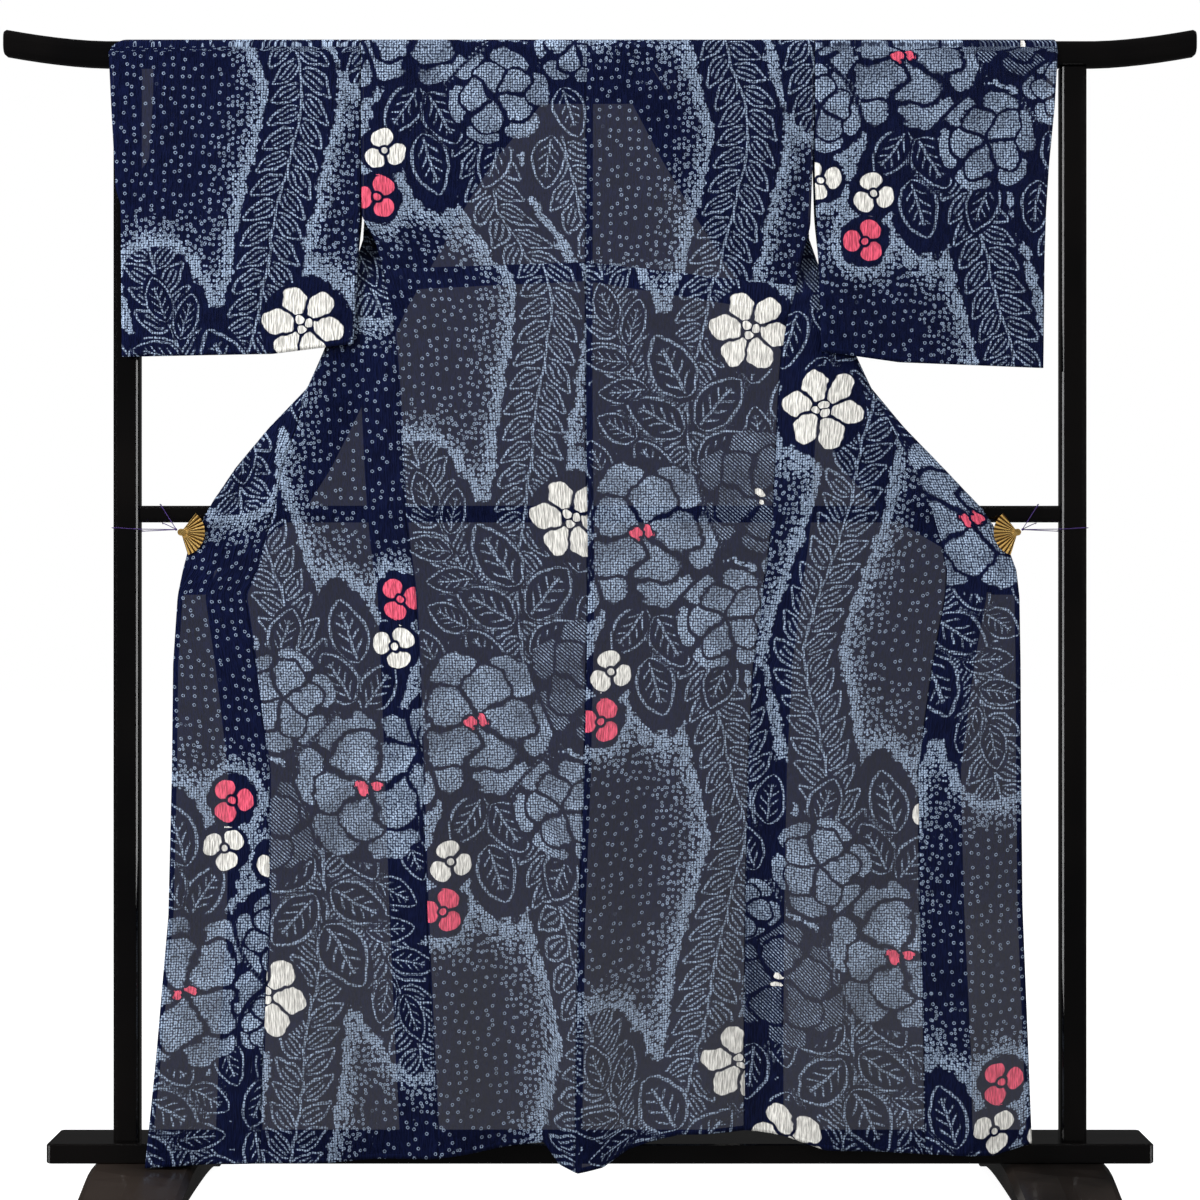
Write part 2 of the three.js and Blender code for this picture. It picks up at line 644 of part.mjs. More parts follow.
// The base plank, its upright corners rounded
function plankGeometry() {
  const middle = (plankFrontY + plankBackY) / 2;
  const deep = plankBackY - plankFrontY;
  const ease = 2;
  const stations = [
    { z: plankTop - plankThick, in: ease }, { z: plankTop - plankThick + ease, in: 0 },
    { z: plankTop - ease, in: 0 }, { z: plankTop, in: ease },
  ].map((s) => ({
    x: 0, y: middle, z: s.z, ux: 1 - s.in / plankHalfSpan, uy: 0, vy: 1 - (2 * s.in) / deep, vz: 0,
  }));
  return loft(stations, roundedRing(2 * plankHalfSpan, deep, 6, 3));
}

const toSolid = (geometry) => {
  const bare = geometry.clone();
  bare.deleteAttribute('normal');
  bare.deleteAttribute('uv');
  const merged = mergeVertices(bare, 1e-4);
  return new wasm.Manifold(new wasm.Mesh({
    numProp: 3,
    vertProperties: new Float32Array(merged.attributes.position.array),
    triVerts: new Uint32Array(merged.index.array),
  }));
};

const toGeometry = (solid) => {
  const mesh = solid.getMesh();
  const geometry = new THREE.BufferGeometry();
  const points = [];
  for (let k = 0; k < mesh.vertProperties.length; k += mesh.numProp) {
    points.push(...mesh.vertProperties.slice(k, k + 3));
  }
  geometry.setAttribute('position', new THREE.Float32BufferAttribute(points, 3));
  geometry.setIndex(Array.from(mesh.triVerts));
  return geometry;
};

// A foot: an arched blade under the plank, flat where the plank stands on it, its back
// drawn up to a ridge towards each tip, with a flat pad under both tips
function footGeometry(sign) {
  const steps = 22;
  const crown = plankTop - plankThick - pieceGap;
  const hollow = 34;
  const tipThick = 11;
  const innerReach = footReach - footPad;
  const vertices = [];
  const shape = [[-0.5, 0], [0.5, 0], [0.5, 0.5], [0.44, 0.66], [0.06, 0.9], [-0.06, 0.9], [-0.44, 0.66], [-0.5, 0.5]];
  for (let k = 0; k <= steps; k += 1) {
    const y = mix(-footReach, footReach, k / steps);
    const past = y < 0 ? Math.max(0, plankFrontY - y) / (footReach + plankFrontY)
      : Math.max(0, y - plankBackY) / (footReach - plankBackY);
    const low = hollow * Math.max(0, 1 - (Math.abs(y) / innerReach) ** 2.2) ** 0.8;
    const high = Math.max(low + tipThick, crown * (1 - 0.98 * past ** 1.6));
    const drawn = smooth(past * 2.6);
    const narrow = mix(1, 0.84, (Math.abs(y) / footReach) ** 2);
    for (const [u, v] of shape) {
      const raised = v > 0 ? mix(u * u < 0.24 ? 1 : 0.8, v / 0.9, drawn) : 0;
      vertices.push(sign * footOut + u * footWide * narrow, y, mix(low, high, raised));
    }
  }
  const n = shape.length;
  const triangles = [];
  for (let s = 0; s < steps; s += 1) {
    for (let k = 0; k < n; k += 1) {
      const [a, b] = [s * n + k, s * n + ((k + 1) % n)];
      triangles.push(a, b, b + n, a, b + n, a + n);
    }
  }
  for (let k = 1; k + 1 < n; k += 1) {
    triangles.push(0, k + 1, k, steps * n, steps * n + k, steps * n + k + 1);
  }
  const geometry = new THREE.BufferGeometry();
  geometry.setAttribute('position', new THREE.Float32BufferAttribute(vertices, 3));
  geometry.setIndex(triangles);
  return outwards(geometry);
}

// A fan-shaped spring clip: a ribbed leaf in front of the cloth, a plain one behind, one hinge
function clipGeometry(sign, pivotOut) {
  const fromAngle = THREE.MathUtils.degToRad(52);
  const toAngle = THREE.MathUtils.degToRad(-73);
  const leaf = (y, wall, reach, ripple) => clothWallOf(2 * fanRibs, 3, (i, j) => {
    const angle = mix(fromAngle, toAngle, i / (2 * fanRibs));
    const radius = mix(3, reach, j / 3);
    const out = pivotOut - radius * Math.cos(angle);
    const lift = (i % 2 ? -1 : 1) * ripple * (radius / fanRadius);
    return new THREE.Vector3(sign * out, y + lift, clipZ + radius * Math.sin(angle));
  }, { wall });
  const hinge = new THREE.CylinderGeometry(5, 5, 13, 16);
  hinge.translate(sign * pivotOut, clipY, clipZ);
  const front = toSolid(leaf(clipY - leafApart, 1.4, fanRadius, 0.7));
  const back = toSolid(leaf(clipY + leafApart, 1.2, 24, 0));
  return toGeometry(front.add(back).add(toSolid(hinge)));
}

// A thin cord from the clip's hinge round the rail and the post, tied at the hinge
function cordGeometry(sign, pivotOut) {
  const knotOut = pivotOut + 8;
  const tube = (points) => {
    const curve = new THREE.CatmullRomCurve3(points.map((p) => new THREE.Vector3(...p)), false, 'catmullrom', 0.1);
    const circle = new THREE.Shape();
    circle.absarc(0, 0, cordRadius, 0, Math.PI * 2);
    const geometry = new THREE.ExtrudeGeometry(circle, {
      steps: 2 * points.length, curveSegments: 4, bevelEnabled: false, extrudePath: curve,
    });
    return toSolid(geometry);
  };
  const clear = cordRadius + 1.3;
  const railTop = railZ + railHigh / 2 + clear;
  const railLow = railZ - railHigh / 2 - clear;
  const railNear = -railDeep / 2 - clear;
  const railTie = pivotOut + 35;
  const knot = [sign * knotOut, clipY + 2, clipZ + 4];
  const overRail = tube([
    knot, [sign * (railTie - 3), railNear - 1, railTop - 3], [sign * railTie, railNear + 4, railTop],
    [sign * (railTie + 1), -railNear - 4, railTop], [sign * (railTie + 1), -railNear, railTop - 4],
    [sign * railTie, -railNear, railLow + 4], [sign * (railTie - 1), -railNear - 4, railLow],
    [sign * (railTie - 5), railNear + 4, railLow], [sign * (railTie - 7), railNear - 1, railLow],
    [sign * knotOut, clipY + 2.2, clipZ + 4.2],
  ]);
  const postIn = postOut - postWide / 2 - clear;
  const postFar = postOut + postWide / 2 + clear;
  const postNear = -postDeep / 2 - clear;
  const tieZ = clipZ + 7;
  const roundPost = tube([
    knot, [sign * (postIn + 4), postNear, tieZ - 2], [sign * (postFar - 5), postNear, tieZ],
    [sign * postFar, postNear + 5, tieZ], [sign * postFar, -postNear - 5, tieZ],
    [sign * (postFar - 5), -postNear, tieZ], [sign * (postIn + 5), -postNear, tieZ - 3],
    [sign * postIn, -postNear - 5, tieZ - 4], [sign * postIn, postNear + 9, tieZ - 5],
    [sign * (postIn - 8), postNear - 3, tieZ - 5], [sign * knotOut, clipY + 2.2, clipZ + 3.8],
  ]);
  const tie = new THREE.SphereGeometry(1.8, 10, 8);
  tie.translate(sign * (knotOut + 0.4), clipY + 2, clipZ + 4);
  return toGeometry(overRail.add(roundPost).add(toSolid(tie)));
}

const navyCloth = () => new THREE.MeshStandardMaterial({ color: 0x1b2446, roughness: 0.85, metalness: 0 });
const blackLacquer = () => new THREE.MeshStandardMaterial({ color: 0x0b0a0a, roughness: 0.18, metalness: 0 });
const gildedMetal = () => new THREE.MeshStandardMaterial({ color: 0xc79a3a, roughness: 0.3, metalness: 1 });
const purpleCord = () => new THREE.MeshStandardMaterial({ color: 0x4a3a78, roughness: 0.8, metalness: 0 });

const group = new THREE.Group();
function addPiece(name, geometry, material) {
  const mesh = new THREE.Mesh(geometry, material);
  mesh.name = name;
  group.add(mesh);
}

for (const [name, half] of Object.entries(sides)) {
  addPiece(`body_${name}`, bodyGeometry(half), navyCloth());
  addPiece(`okumi_${name}`, okumiGeometry(half), navyCloth());
}
addPiece('sleeve_left', sleeveGeometry(leftSleeve), navyCloth());
addPiece('sleeve_right', sleeveGeometry(rightSleeve), navyCloth());
addPiece('collar', collarGeometry(), navyCloth());

addPiece('top_bar', topBarGeometry(), blackLacquer());
addPiece('middle_rail', railGeometry(), blackLacquer());
addPiece('base_plank', plankGeometry(), blackLacquer());
for (const [name, half] of Object.entries(sides)) {
  addPiece(`post_${name}`, postGeometry(half.sign), blackLacquer());
  addPiece(`foot_${name}`, footGeometry(half.sign), blackLacquer());
  addPiece(`clip_${name}`, clipGeometry(half.sign, clipOut[name]), gildedMetal());
  addPiece(`clip_cord_${name}`, cordGeometry(half.sign, clipOut[name]), purpleCord());
}

export default group;
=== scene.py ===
import math

import bmesh
import bpy
import numpy as np
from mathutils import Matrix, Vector


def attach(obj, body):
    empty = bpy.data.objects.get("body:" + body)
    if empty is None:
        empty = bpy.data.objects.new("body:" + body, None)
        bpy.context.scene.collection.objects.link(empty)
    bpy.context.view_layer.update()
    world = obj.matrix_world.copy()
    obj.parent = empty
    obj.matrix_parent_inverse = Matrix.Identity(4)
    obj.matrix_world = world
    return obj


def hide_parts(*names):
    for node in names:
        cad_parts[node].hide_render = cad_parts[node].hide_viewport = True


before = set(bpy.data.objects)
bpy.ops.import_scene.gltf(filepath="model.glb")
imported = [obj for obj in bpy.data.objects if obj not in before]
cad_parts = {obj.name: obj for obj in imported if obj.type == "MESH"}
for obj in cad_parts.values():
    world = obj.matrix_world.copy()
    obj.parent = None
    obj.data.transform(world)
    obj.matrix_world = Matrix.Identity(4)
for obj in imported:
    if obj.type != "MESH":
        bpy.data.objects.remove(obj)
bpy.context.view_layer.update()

# Camera, room and the clips' fans, in metres
view = {"stand": (0.0, -3.6, 0.878), "lens": 74.79, "sensor": 36.0}
room = {"floorSize": 40.0, "floorBelow": 0.0006, "worldLight": 0.30, "worldGloss": 0.03,
        "keyLight": 150.0, "fillLight": 34.0, "topLight": 34.0, "behindLight": 60.0, "strip": 9.0}
fan = {"out": 0.598, "height": 0.975, "pleats": 34}

# The garment, in millimetres as it was cut and hung. A drop is measured down from the shoulder line.
garment = {
    "shoulderZ": 1686.4, "wall": 1.2, "shell": 0.7, "cell": 5.0,
    "neckOut": 92, "neckDrop": 30, "collarWidth": 64, "collarEnd": 797, "collarEase": 9,
    "sleeveHold": 250, "sideSeam": 382, "okumiTip": 215, "foldMeet": 450, "foldCross": 503,
    "collarOut": 640, "collarOutSpan": 90, "arch": 20.5, "archSquare": 0.7, "overBar": 36,
    "levelDrop": 900, "floorDrop": 1600, "archRun": 62,
    "heldOut": 585, "heldDrop": 715, "heldReach": 34, "heldEase": 70, "heldApart": 4.2,
    "bandHalfNeck": 66, "bandDrop": 88, "frontFrom": 96, "frontRun": 44, "okumiWidth": 152,
    "sideAllowance": 55, "hemTurned": 7, "farInside": 30,
}
# Cells over the bar, at the neck's edge, and along the collar's joints and neck
cells = {"overBar": 12, "neckEdge": 2, "joint": 8, "neck": 26}
tuck = {"drop": 323, "high": 27, "hidden": 54, "reach": 160}

centreSeam = {"drop": [0, 500, 800, 1050, 1250, 1600], "x": [-19, -20, -17, -22, -30, -35]}
# Each half's sections, outwards from the middle of the stand, and where it was cut from the bolt
rows = [0, 90, 170, 250, 285, 320, 382, 450, 503, 560, 620, 680, 730, 765, 800, 900, 1050, 1250, 1450, 1600]
leftHalf = {
    "name": "left", "sign": -1, "tilt": 0.034, "centreTurned": 2, "drop": rows,
    "side": [343, 343, 343, 342, 322, 312, 299, 292, 288, 285, 282, 278, 273, 268, 263, 258, 252,
             245, 236, 228],
    "fold": [343, 343, 343, 342, 343, 353, 374, 398, 421, 475, 524, 563, 588, 597, 604, 610, 611,
             615, 632, 647],
    "free": [84, 86, 153, 203, 222, 242, 278, 309, 332, 359, 388, 425, 497, 552, 558, 558, 558,
             558, 558, 558],
    "overlap": [84, 150, 217, 267, 289, 315, 360, 396, 420, 434, 455, 466, 481, 490, 507, 491, 471,
                470, 479, 483],
    "bolt": {"back": -692, "front": 289, "okumiStart": -32, "okumi": 574},
}
rightHalf = {
    "name": "right", "sign": 1, "tilt": 0.115, "centreTurned": 9, "drop": rows,
    "side": [308, 308, 306, 302, 290, 282, 269, 261, 257, 254, 251, 248, 243, 238, 233, 220, 212,
             208, 206, 206],
    "fold": [308, 308, 306, 302, 303, 314, 340, 366, 390, 437, 494, 550, 583, 596, 600, 601, 601,
             602, 609, 614],
    "free": [46, 48, 90, 137, 160, 181, 224, 264, 292, 319, 350, 403, 486, 552, 554, 554, 554,
             554, 554, 554],
    "overlap": [46, 112, 154, 201, 226, 252, 304, 352, 390, 418, 450, 476, 490, 497, 495, 476, 455,
                456, 462, 463],
    "bolt": {"back": -421, "front": 534, "edge": 300, "okumiStart": 131, "okumi": 982},
}
lean = {
    "drop": [0, 300, 420, 560, 640, 684, 725, 750, 800, 900, 1250, 1600],
    "near": [-18, -22, -24, -28, -30, -31.6, -32, -32.3, -34, -38, -48, -56],
    "between": [36, 36, 34, 24, 16, 13, 9, 8, 6, 6, 6, 6],
}
hemLine = {
    "x": [-660, -460, -240, -165, -80, -58, -32, 4, 40, 114, 206, 262, 320, 420, 560, 620],
    "drop": [1616, 1608, 1602, 1591, 1578, 1608, 1620, 1613, 1590, 1567, 1562, 1570, 1588, 1595, 1597, 1578],
}
# Soft upright folds: top drop, x there and at the hem, width and depth towards the viewer
folds = [
    (700, -22, -28, 40, 15), (500, -180, -128, 34, -9), (620, -280, -205, 34, 10), (560, -395, -315, 36, -9),
    (820, -490, -405, 38, 10), (860, -545, -560, 34, -8), (640, 70, 66, 34, -10), (600, 170, 150, 38, 11),
    (520, 265, 232, 30, -9), (640, 370, 318, 36, 10), (760, 450, 410, 36, -9), (860, 540, 520, 36, 9),
]
# Creases: from (x, drop) to (x, drop), how wide, and how deep towards the viewer
creases = [
    (-590, 715, -455, 560, 15, 2.6), (-585, 712, -400, 700, 13, -2.2), (-588, 720, -470, 900, 16, 2.4),
    (-580, 706, -480, 620, 9, -1.8), (-592, 728, -540, 980, 12, -2.0), (-560, 700, -330, 610, 12, 1.8),
    (586, 718, 460, 560, 15, 2.6), (582, 716, 415, 690, 13, -2.2), (586, 724, 490, 905, 16, 2.4),
    (578, 708, 490, 630, 9, -1.8), (590, 730, 545, 960, 12, -2.0), (555, 700, 340, 620, 12, 1.8),
    (-330, 60, -318, 330, 11, 2.2), (-262, 40, -270, 420, 16, -2.0), (-150, 60, -172, 560, 18, 2.2),
    (-70, 90, -80, 620, 15, -1.8), (60, 70, 74, 640, 16, 1.9), (150, 50, 168, 520, 17, -2.2),
    (232, 40, 246, 470, 14, 2.2), (292, 60, 288, 330, 10, -2.0), (-300, 380, -330, 820, 13, 1.9),
    (-352, 470, -372, 1000, 12, -1.8), (285, 400, 305, 860, 13, 1.9), (350, 520, 362, 1050, 12, -1.9),
    (-110, 640, -60, 1380, 15, -2.6), (105, 800, 112, 1500, 14, 2.4), (-232, 900, -196, 1560, 13, 2.4),
    (196, 880, 182, 1520, 12, -2.2), (-455, 1010, -462, 1580, 15, 2.6), (452, 1000, 470, 1560, 14, 2.4),
]
leftSleeve = {
    "name": "left", "sign": -1, "bottom": (441, 456, 460), "cuff": 222, "farOut": 648,
    "boltX": 660, "boltY": -414,
    "drop": [0, 100, 218, 240, 330, 460],
    "inner": [344, 344, 344, 344, 347, 354], "outer": [707, 702, 695, 688, 686, 684],
}
rightSleeve = {
    "name": "right", "sign": 1, "bottom": (452, 468, 476), "cuff": 226, "farOut": 648,
    "boltX": -358, "boltY": 265,
    "drop": [0, 100, 180, 250, 320, 480],
    "inner": [309, 309, 308, 310, 313, 318], "outer": [659, 653, 645, 640, 637, 634],
}
sleeveHang = {
    "length": 450, "width": 345, "swingDrop": 150, "swingOver": 300, "forward": 9, "crown": 2.5,
    "touching": 1.5, "hollow": 9, "turned": 8, "cuffTurned": 4,
}
# How wide the overlap's folded edge lies behind its seam, and the collar's end turned in below it
okumiStrip = {"drop": [520, 560, 800, 1100, 1600], "wide": [30, 46, 58, 60, 66]}
turnedEnd = {"from": 735, "to": 800, "wide": 42}
collarBolt = {"x": 120, "y": 610}
# x and drop from and to, width and depth towards the viewer
sleeveCreases = [
    (-650, 30, -628, 430, 16, 2.6), (-590, 20, -585, 440, 20, -2.4), (-520, 40, -505, 450, 18, 2.6),
    (-450, 20, -436, 445, 16, -2.4), (-385, 40, -392, 445, 13, 2.2), (615, 30, 598, 455, 16, 2.6),
    (552, 20, 545, 460, 18, -2.4), (482, 40, 470, 465, 18, 2.6), (415, 20, 402, 460, 15, -2.4),
    (352, 40, 352, 450, 12, 2.2),
]


def mix(a, b, t):
    return a + (b - a) * t


def mixed(a, b, share):
    # The same for shader numbers
    return share * (b - a) + a


def smooth(t):
    t = np.clip(t, 0, 1)
    return t * t * (3 - 2 * t)


def column(table, drop, name):
    return np.interp(drop, table["drop"], table[name])


def ridges(table, x, drop):
    # Each line is a soft ridge or trough that fades out at both of its ends
    depth = np.zeros(np.broadcast(x, drop).shape)
    for x0, drop0, x1, drop1, wide, deep in table:
        run = math.hypot(x1 - x0, drop1 - drop0)
        ax, ad = (x1 - x0) / run, (drop1 - drop0) / run
        t = ((x - x0) * ax + (drop - drop0) * ad) / run
        off = (x - x0) * ad - (drop - drop0) * ax + 5 * np.sin(t * 5 + x0)
        depth += deep * np.exp(-((off / wide) ** 2)) * smooth(t * 4) * smooth((1 - t) * 4)
    return depth


def ripple(x, drop):
    # The crepe's own small upright waves
    wave = np.sin(x / 3.1 + 1.3 * np.sin(drop / 57) + 0.7 * np.sin(drop / 23 + x / 40))
    return 0.16 * wave * (0.6 + 0.4 * np.sin(drop / 91 + x / 29))


def hungDrop(x, drop):
    level, floor = garment["levelDrop"], garment["floorDrop"]
    hem = np.interp(x, hemLine["x"], hemLine["drop"])
    return np.where(drop <= level, drop, level + (drop - level) * (hem - level) / (floor - level))


def nearY(x, drop):
    depth = ridges(creases, x, drop) + ripple(x, drop)
    for top, xTop, xHem, wide, deep in folds:
        t = np.clip((drop - top) / (garment["floorDrop"] - top), 0, 1)
        reach = (x - mix(xTop, xHem, t)) / mix(wide * 0.8, wide, t)
        depth = depth + deep * smooth(t * 1.3) * np.exp(-reach * reach)
    return column(lean, drop, "near") - depth


def layersApart(x, drop):
    toClip = np.hypot(np.abs(x) - garment["heldOut"], drop - garment["heldDrop"]) - garment["heldReach"]
    return mix(garment["heldApart"], column(lean, drop, "between"), smooth(toClip / garment["heldEase"]))


def wrapLevel(half, piece, t, drop, below):
    # One level of the front as a path: from the side seam out to the fold and back behind it.
    # t runs over the piece: 0 at the seam nearer the side, 1 at the one nearer the free edge.
    side, fold, free = (column(half, drop, name) for name in ("side", "fold", "free"))
    opening = smooth((drop - garment["sleeveHold"]) / (garment["sideSeam"] - garment["sleeveHold"]))
    apart = layersApart(half["sign"] * (fold - 15), drop) * opening
    radius = np.zeros_like(drop) if below else np.minimum(apart / 2, (fold - side) / 2)
    near = fold - side - radius
    turn = np.pi * radius
    length = near if below else near + turn + fold - free - radius
    apex = near + turn / 2
    toFold = smooth((drop - garment["collarOut"]) / garment["collarOutSpan"])
    collarRun = length if below else mix(length - garment["collarWidth"], apex, toFold)
    room = np.maximum(0, collarRun - near - turn)
    hidden = collarRun - 0.75 * room * smooth((drop - garment["okumiTip"]) / 180)
    shown = np.minimum(column(half, drop, "overlap") - side, apex)
    crossed = smooth((drop - garment["foldMeet"]) / (garment["foldCross"] - garment["foldMeet"]))
    seamRun = np.where(drop <= garment["okumiTip"], collarRun, mix(hidden, shown, crossed))
    ends = {
        "body": (np.zeros_like(drop), seamRun), "okumi": (seamRun, collarRun), "collar": (collarRun, length),
    }
    start, end = ends[piece]
    run = mix(start, end, t)
    past = run - near
    angle = np.clip(past / np.maximum(radius, 1e-6), 0, np.pi)
    if below:
        out, lift = side + run, np.ones_like(run)
    else:
        bend = fold - radius + radius * np.sin(angle)
        behind = fold - radius - (past - turn)
        out = np.where(past <= 0, side + run, np.where(past <= turn, bend, behind))
        lift = (1 + np.cos(angle)) / 2 * opening
    x = half["sign"] * out
    gap = layersApart(x, drop)
    return out, nearY(x, drop) + gap * (1 - lift), run, run - start, end - run


def wrapPoints(half, piece, t, drop):
    last, ease = garment["collarEnd"], garment["collarEase"]
    upper = wrapLevel(half, piece, t, np.minimum(drop, last), False)
    lower = wrapLevel(half, piece, t, np.maximum(drop, last + ease), True)
    share = np.clip((drop - last) / ease, 0, 1)
    return [mix(a, b, share) for a, b in zip(upper, lower)]


def archPoint(turn, near, apart):
    angle = np.pi * turn
    power = garment["archSquare"]
    across = np.sign(np.cos(angle)) * np.abs(np.cos(angle)) ** power
    drop = garment["arch"] * (1 - np.abs(np.sin(angle)) ** power)
    return near + apart * (1 - across) / 2, drop


def heightOf(drop):
    return garment["shoulderZ"] - garment["wall"] / 2 - drop


print("shapes ready")


# One bolt of the cloth, in millimetres: x across it, y down it, repeating every boltRepeat
boltRepeat = 1075.0
smallFlowers = [  # kind 0 white, 1 pink, 2 large white; x, y, reach, turn
    (2, 236, 0, 61, 0.35), (0, 34, 490, 32, 0.3), (1, 22, 558, 32, 1.0), (0, -42, 470, 31, 1.9),
]
blossoms = [  # kind 0 dotted with pink stamens, 1 dotted, 2 hatched; x, y, reach, turn
    (0, 80, 292, 104, 0.2), (1, 196, 414, 70, 0.9), (2, 246, 234, 86, 0.5), (1, -44, 366, 62, 1.4),
    (1, 306, 340, 54, 2.2), (1, -32, 246, 44, 0.4),
]
leaves = [  # x, y of the middle, half length, half width, the way the tip points in degrees
    (122, 52, 50, 31, 118), (190, 104, 46, 28, 48), (98, 124, 46, 27, 150), (194, 170, 40, 24, 30),
    (94, 190, 37, 23, 128), (60, 432, 40, 24, 235), (118, 446, 42, 25, 300), (100, 512, 46, 26, 285),
    (190, 508, 38, 22, 250), (28, -36, 34, 17, 108), (68, -12, 33, 17, 75), (26, 42, 35, 18, 170),
    (54, 88, 35, 18, 185), (292, 98, 42, 25, 80), (-30, 58, 38, 21, 100), (-28, 134, 38, 22, 70),
    (268, 508, 38, 22, 262), (300, 436, 38, 22, 290), (-44, 200, 36, 20, 60), (16, 190, 34, 20, 110),
    (246, 36, 40, 23, 75), (246, 140, 30, 18, 100), (44, 140, 32, 19, 150),
]
vines = [
    [(158, 446), (182, 520), (206, 630), (232, 729), (216, 825), (192, 928), (182, 1004), (166, 1080),
     (146, 1175), (148, 1270)],
    [(86, 1190), (60, 1115), (36, 1050), (24, 1006)],
    [(300, 520), (318, 600), (334, 690)],
]
vineLeaf = {"pitch": 35.0, "angle": 49.0, "long": 57.0, "half": 12.0, "band": 48.0}
leafGround = 1.12  # the dark ground of a leaf reaches this many times as far as the leaf
margin = {"vine": 2, "bloomReach": 76, "bloom": 14, "smallReach": 39, "small": 7, "leafReach": 28, "leaf": 14}


def bentLine(points, step=4.0):
    # A smooth line through a few points, with its length and direction at each sample
    knots = np.array(points, float)
    ends = [2 * knots[0] - knots[1], *knots, 2 * knots[-1] - knots[-2]]
    samples = []
    for p0, p1, p2, p3 in zip(ends, ends[1:], ends[2:], ends[3:]):
        count = max(2, int(np.hypot(*(p2 - p1)) / step))
        t = np.linspace(0, 1, count, endpoint=False)[:, None]
        samples.append(0.5 * (2 * p1 + (p2 - p0) * t + (2 * p0 - 5 * p1 + 4 * p2 - p3) * t**2
                              + (3 * p1 - p0 - 3 * p2 + p3) * t**3))
    line = np.concatenate(samples)
    tangent = np.gradient(line, axis=0)
    tangent /= np.hypot(tangent[:, 0], tangent[:, 1])[:, None]
    length = np.concatenate([[0], np.cumsum(np.hypot(*np.diff(line, axis=0).T))])
    return line, tangent, length


def wrapped(difference):
    return (difference + boltRepeat / 2) % boltRepeat - boltRepeat / 2


def nearestOf(motifs, x, y):
    # The place of each point on its nearest motif, in the motif's own directions and size
    best = np.full(x.shape, 9.0)
    apart = np.full(x.shape, 9.0)
    local = np.zeros((len(x), 2))
    kind = np.zeros(len(x))
    for motifKind, mx, my, reach, turn in motifs:
        dx, dy = x - mx, wrapped(y - my)
        far = np.hypot(dx, dy) / reach
        nearer = far < best
        apart = np.minimum(np.where(nearer, 9.0, apart), np.abs(far - best) * reach / 2)
        best = np.where(nearer, far, best)
        u = (dx * math.cos(turn) + dy * math.sin(turn)) / reach
        v = (dy * math.cos(turn) - dx * math.sin(turn)) / reach
        local[nearer] = np.stack([u, v], 1)[nearer]
        kind[nearer] = motifKind
    return local, best, kind, apart


def nearestLeaf(x, y):
    best = np.full(x.shape, 9.0)
    apart = np.full(x.shape, 9.0)
    local = np.zeros((len(x), 2))
    for mx, my, halfLong, halfWide, tip in leaves:
        dx, dy = x - mx, wrapped(y - my)
        ax, ay = math.cos(math.radians(tip)), -math.sin(math.radians(tip))
        p = (dx * ax + dy * ay) / halfLong
        q = (dy * ax - dx * ay) / halfWide
        far = np.hypot(p, q)
        nearer = far < best
        apart = np.minimum(np.where(nearer, 9.0, apart), np.abs(far - best) * halfWide / 2)
        best = np.where(nearer, far, best)
        local[nearer] = np.stack([p, q], 1)[nearer]
    return local, best, apart


def boltFields(x, y):
    # Everything that the print needs at each point of a piece, worked out from the bolt's tables
    small, smallFar, smallKind, smallApart = nearestOf(smallFlowers, x, y)
    bloom, bloomFar, bloomKind, bloomApart = nearestOf(blossoms, x, y)
    leaf, leafFar, leafApart = nearestLeaf(x, y)
    vine = np.zeros((len(x), 2))
    vineFar = np.full(len(x), 900.0)
    for number, points in enumerate(vines):
        line, tangent, length = bentLine(points)
        nearest = np.full(len(x), 1e9)
        which = np.zeros(len(x), int)
        for k, (lx, ly) in enumerate(line):
            away = (x - lx) ** 2 + wrapped(y - ly) ** 2
            nearer = away < nearest
            nearest[nearer] = away[nearer]
            which[nearer] = k
        dx, dy = x - line[which, 0], wrapped(y - line[which, 1])
        tx, ty = tangent[which].T
        s = length[which] + dx * tx + dy * ty + 400 * number
        d = dx * ty - dy * tx
        far = np.sqrt(nearest)
        nearer = far < vineFar
        vineFar = np.where(nearer, far, vineFar)
        vine[nearer] = np.stack([s, d], 1)[nearer]
    # How far each point lies outside all the motifs and the dark margin round them
    outside = vineFar - vineLeaf["band"] - margin["vine"]
    outside = np.minimum(outside, (bloomFar - 1) * margin["bloomReach"] - margin["bloom"])
    outside = np.minimum(outside, (smallFar - 1) * margin["smallReach"] - margin["small"])
    outside = np.minimum(outside, (leafFar - leafGround) * margin["leafReach"] - margin["leaf"])
    return {
        "small": np.column_stack([small, smallFar]), "bloom": np.column_stack([bloom, bloomFar]),
        "leaf": np.column_stack([leaf, leafFar]), "vine": np.column_stack([vine, outside]),
        "kinds": np.column_stack([smallKind, bloomKind, vineFar]),
        "apart": np.column_stack([smallApart, bloomApart, leafApart]).clip(0, 30),
    }


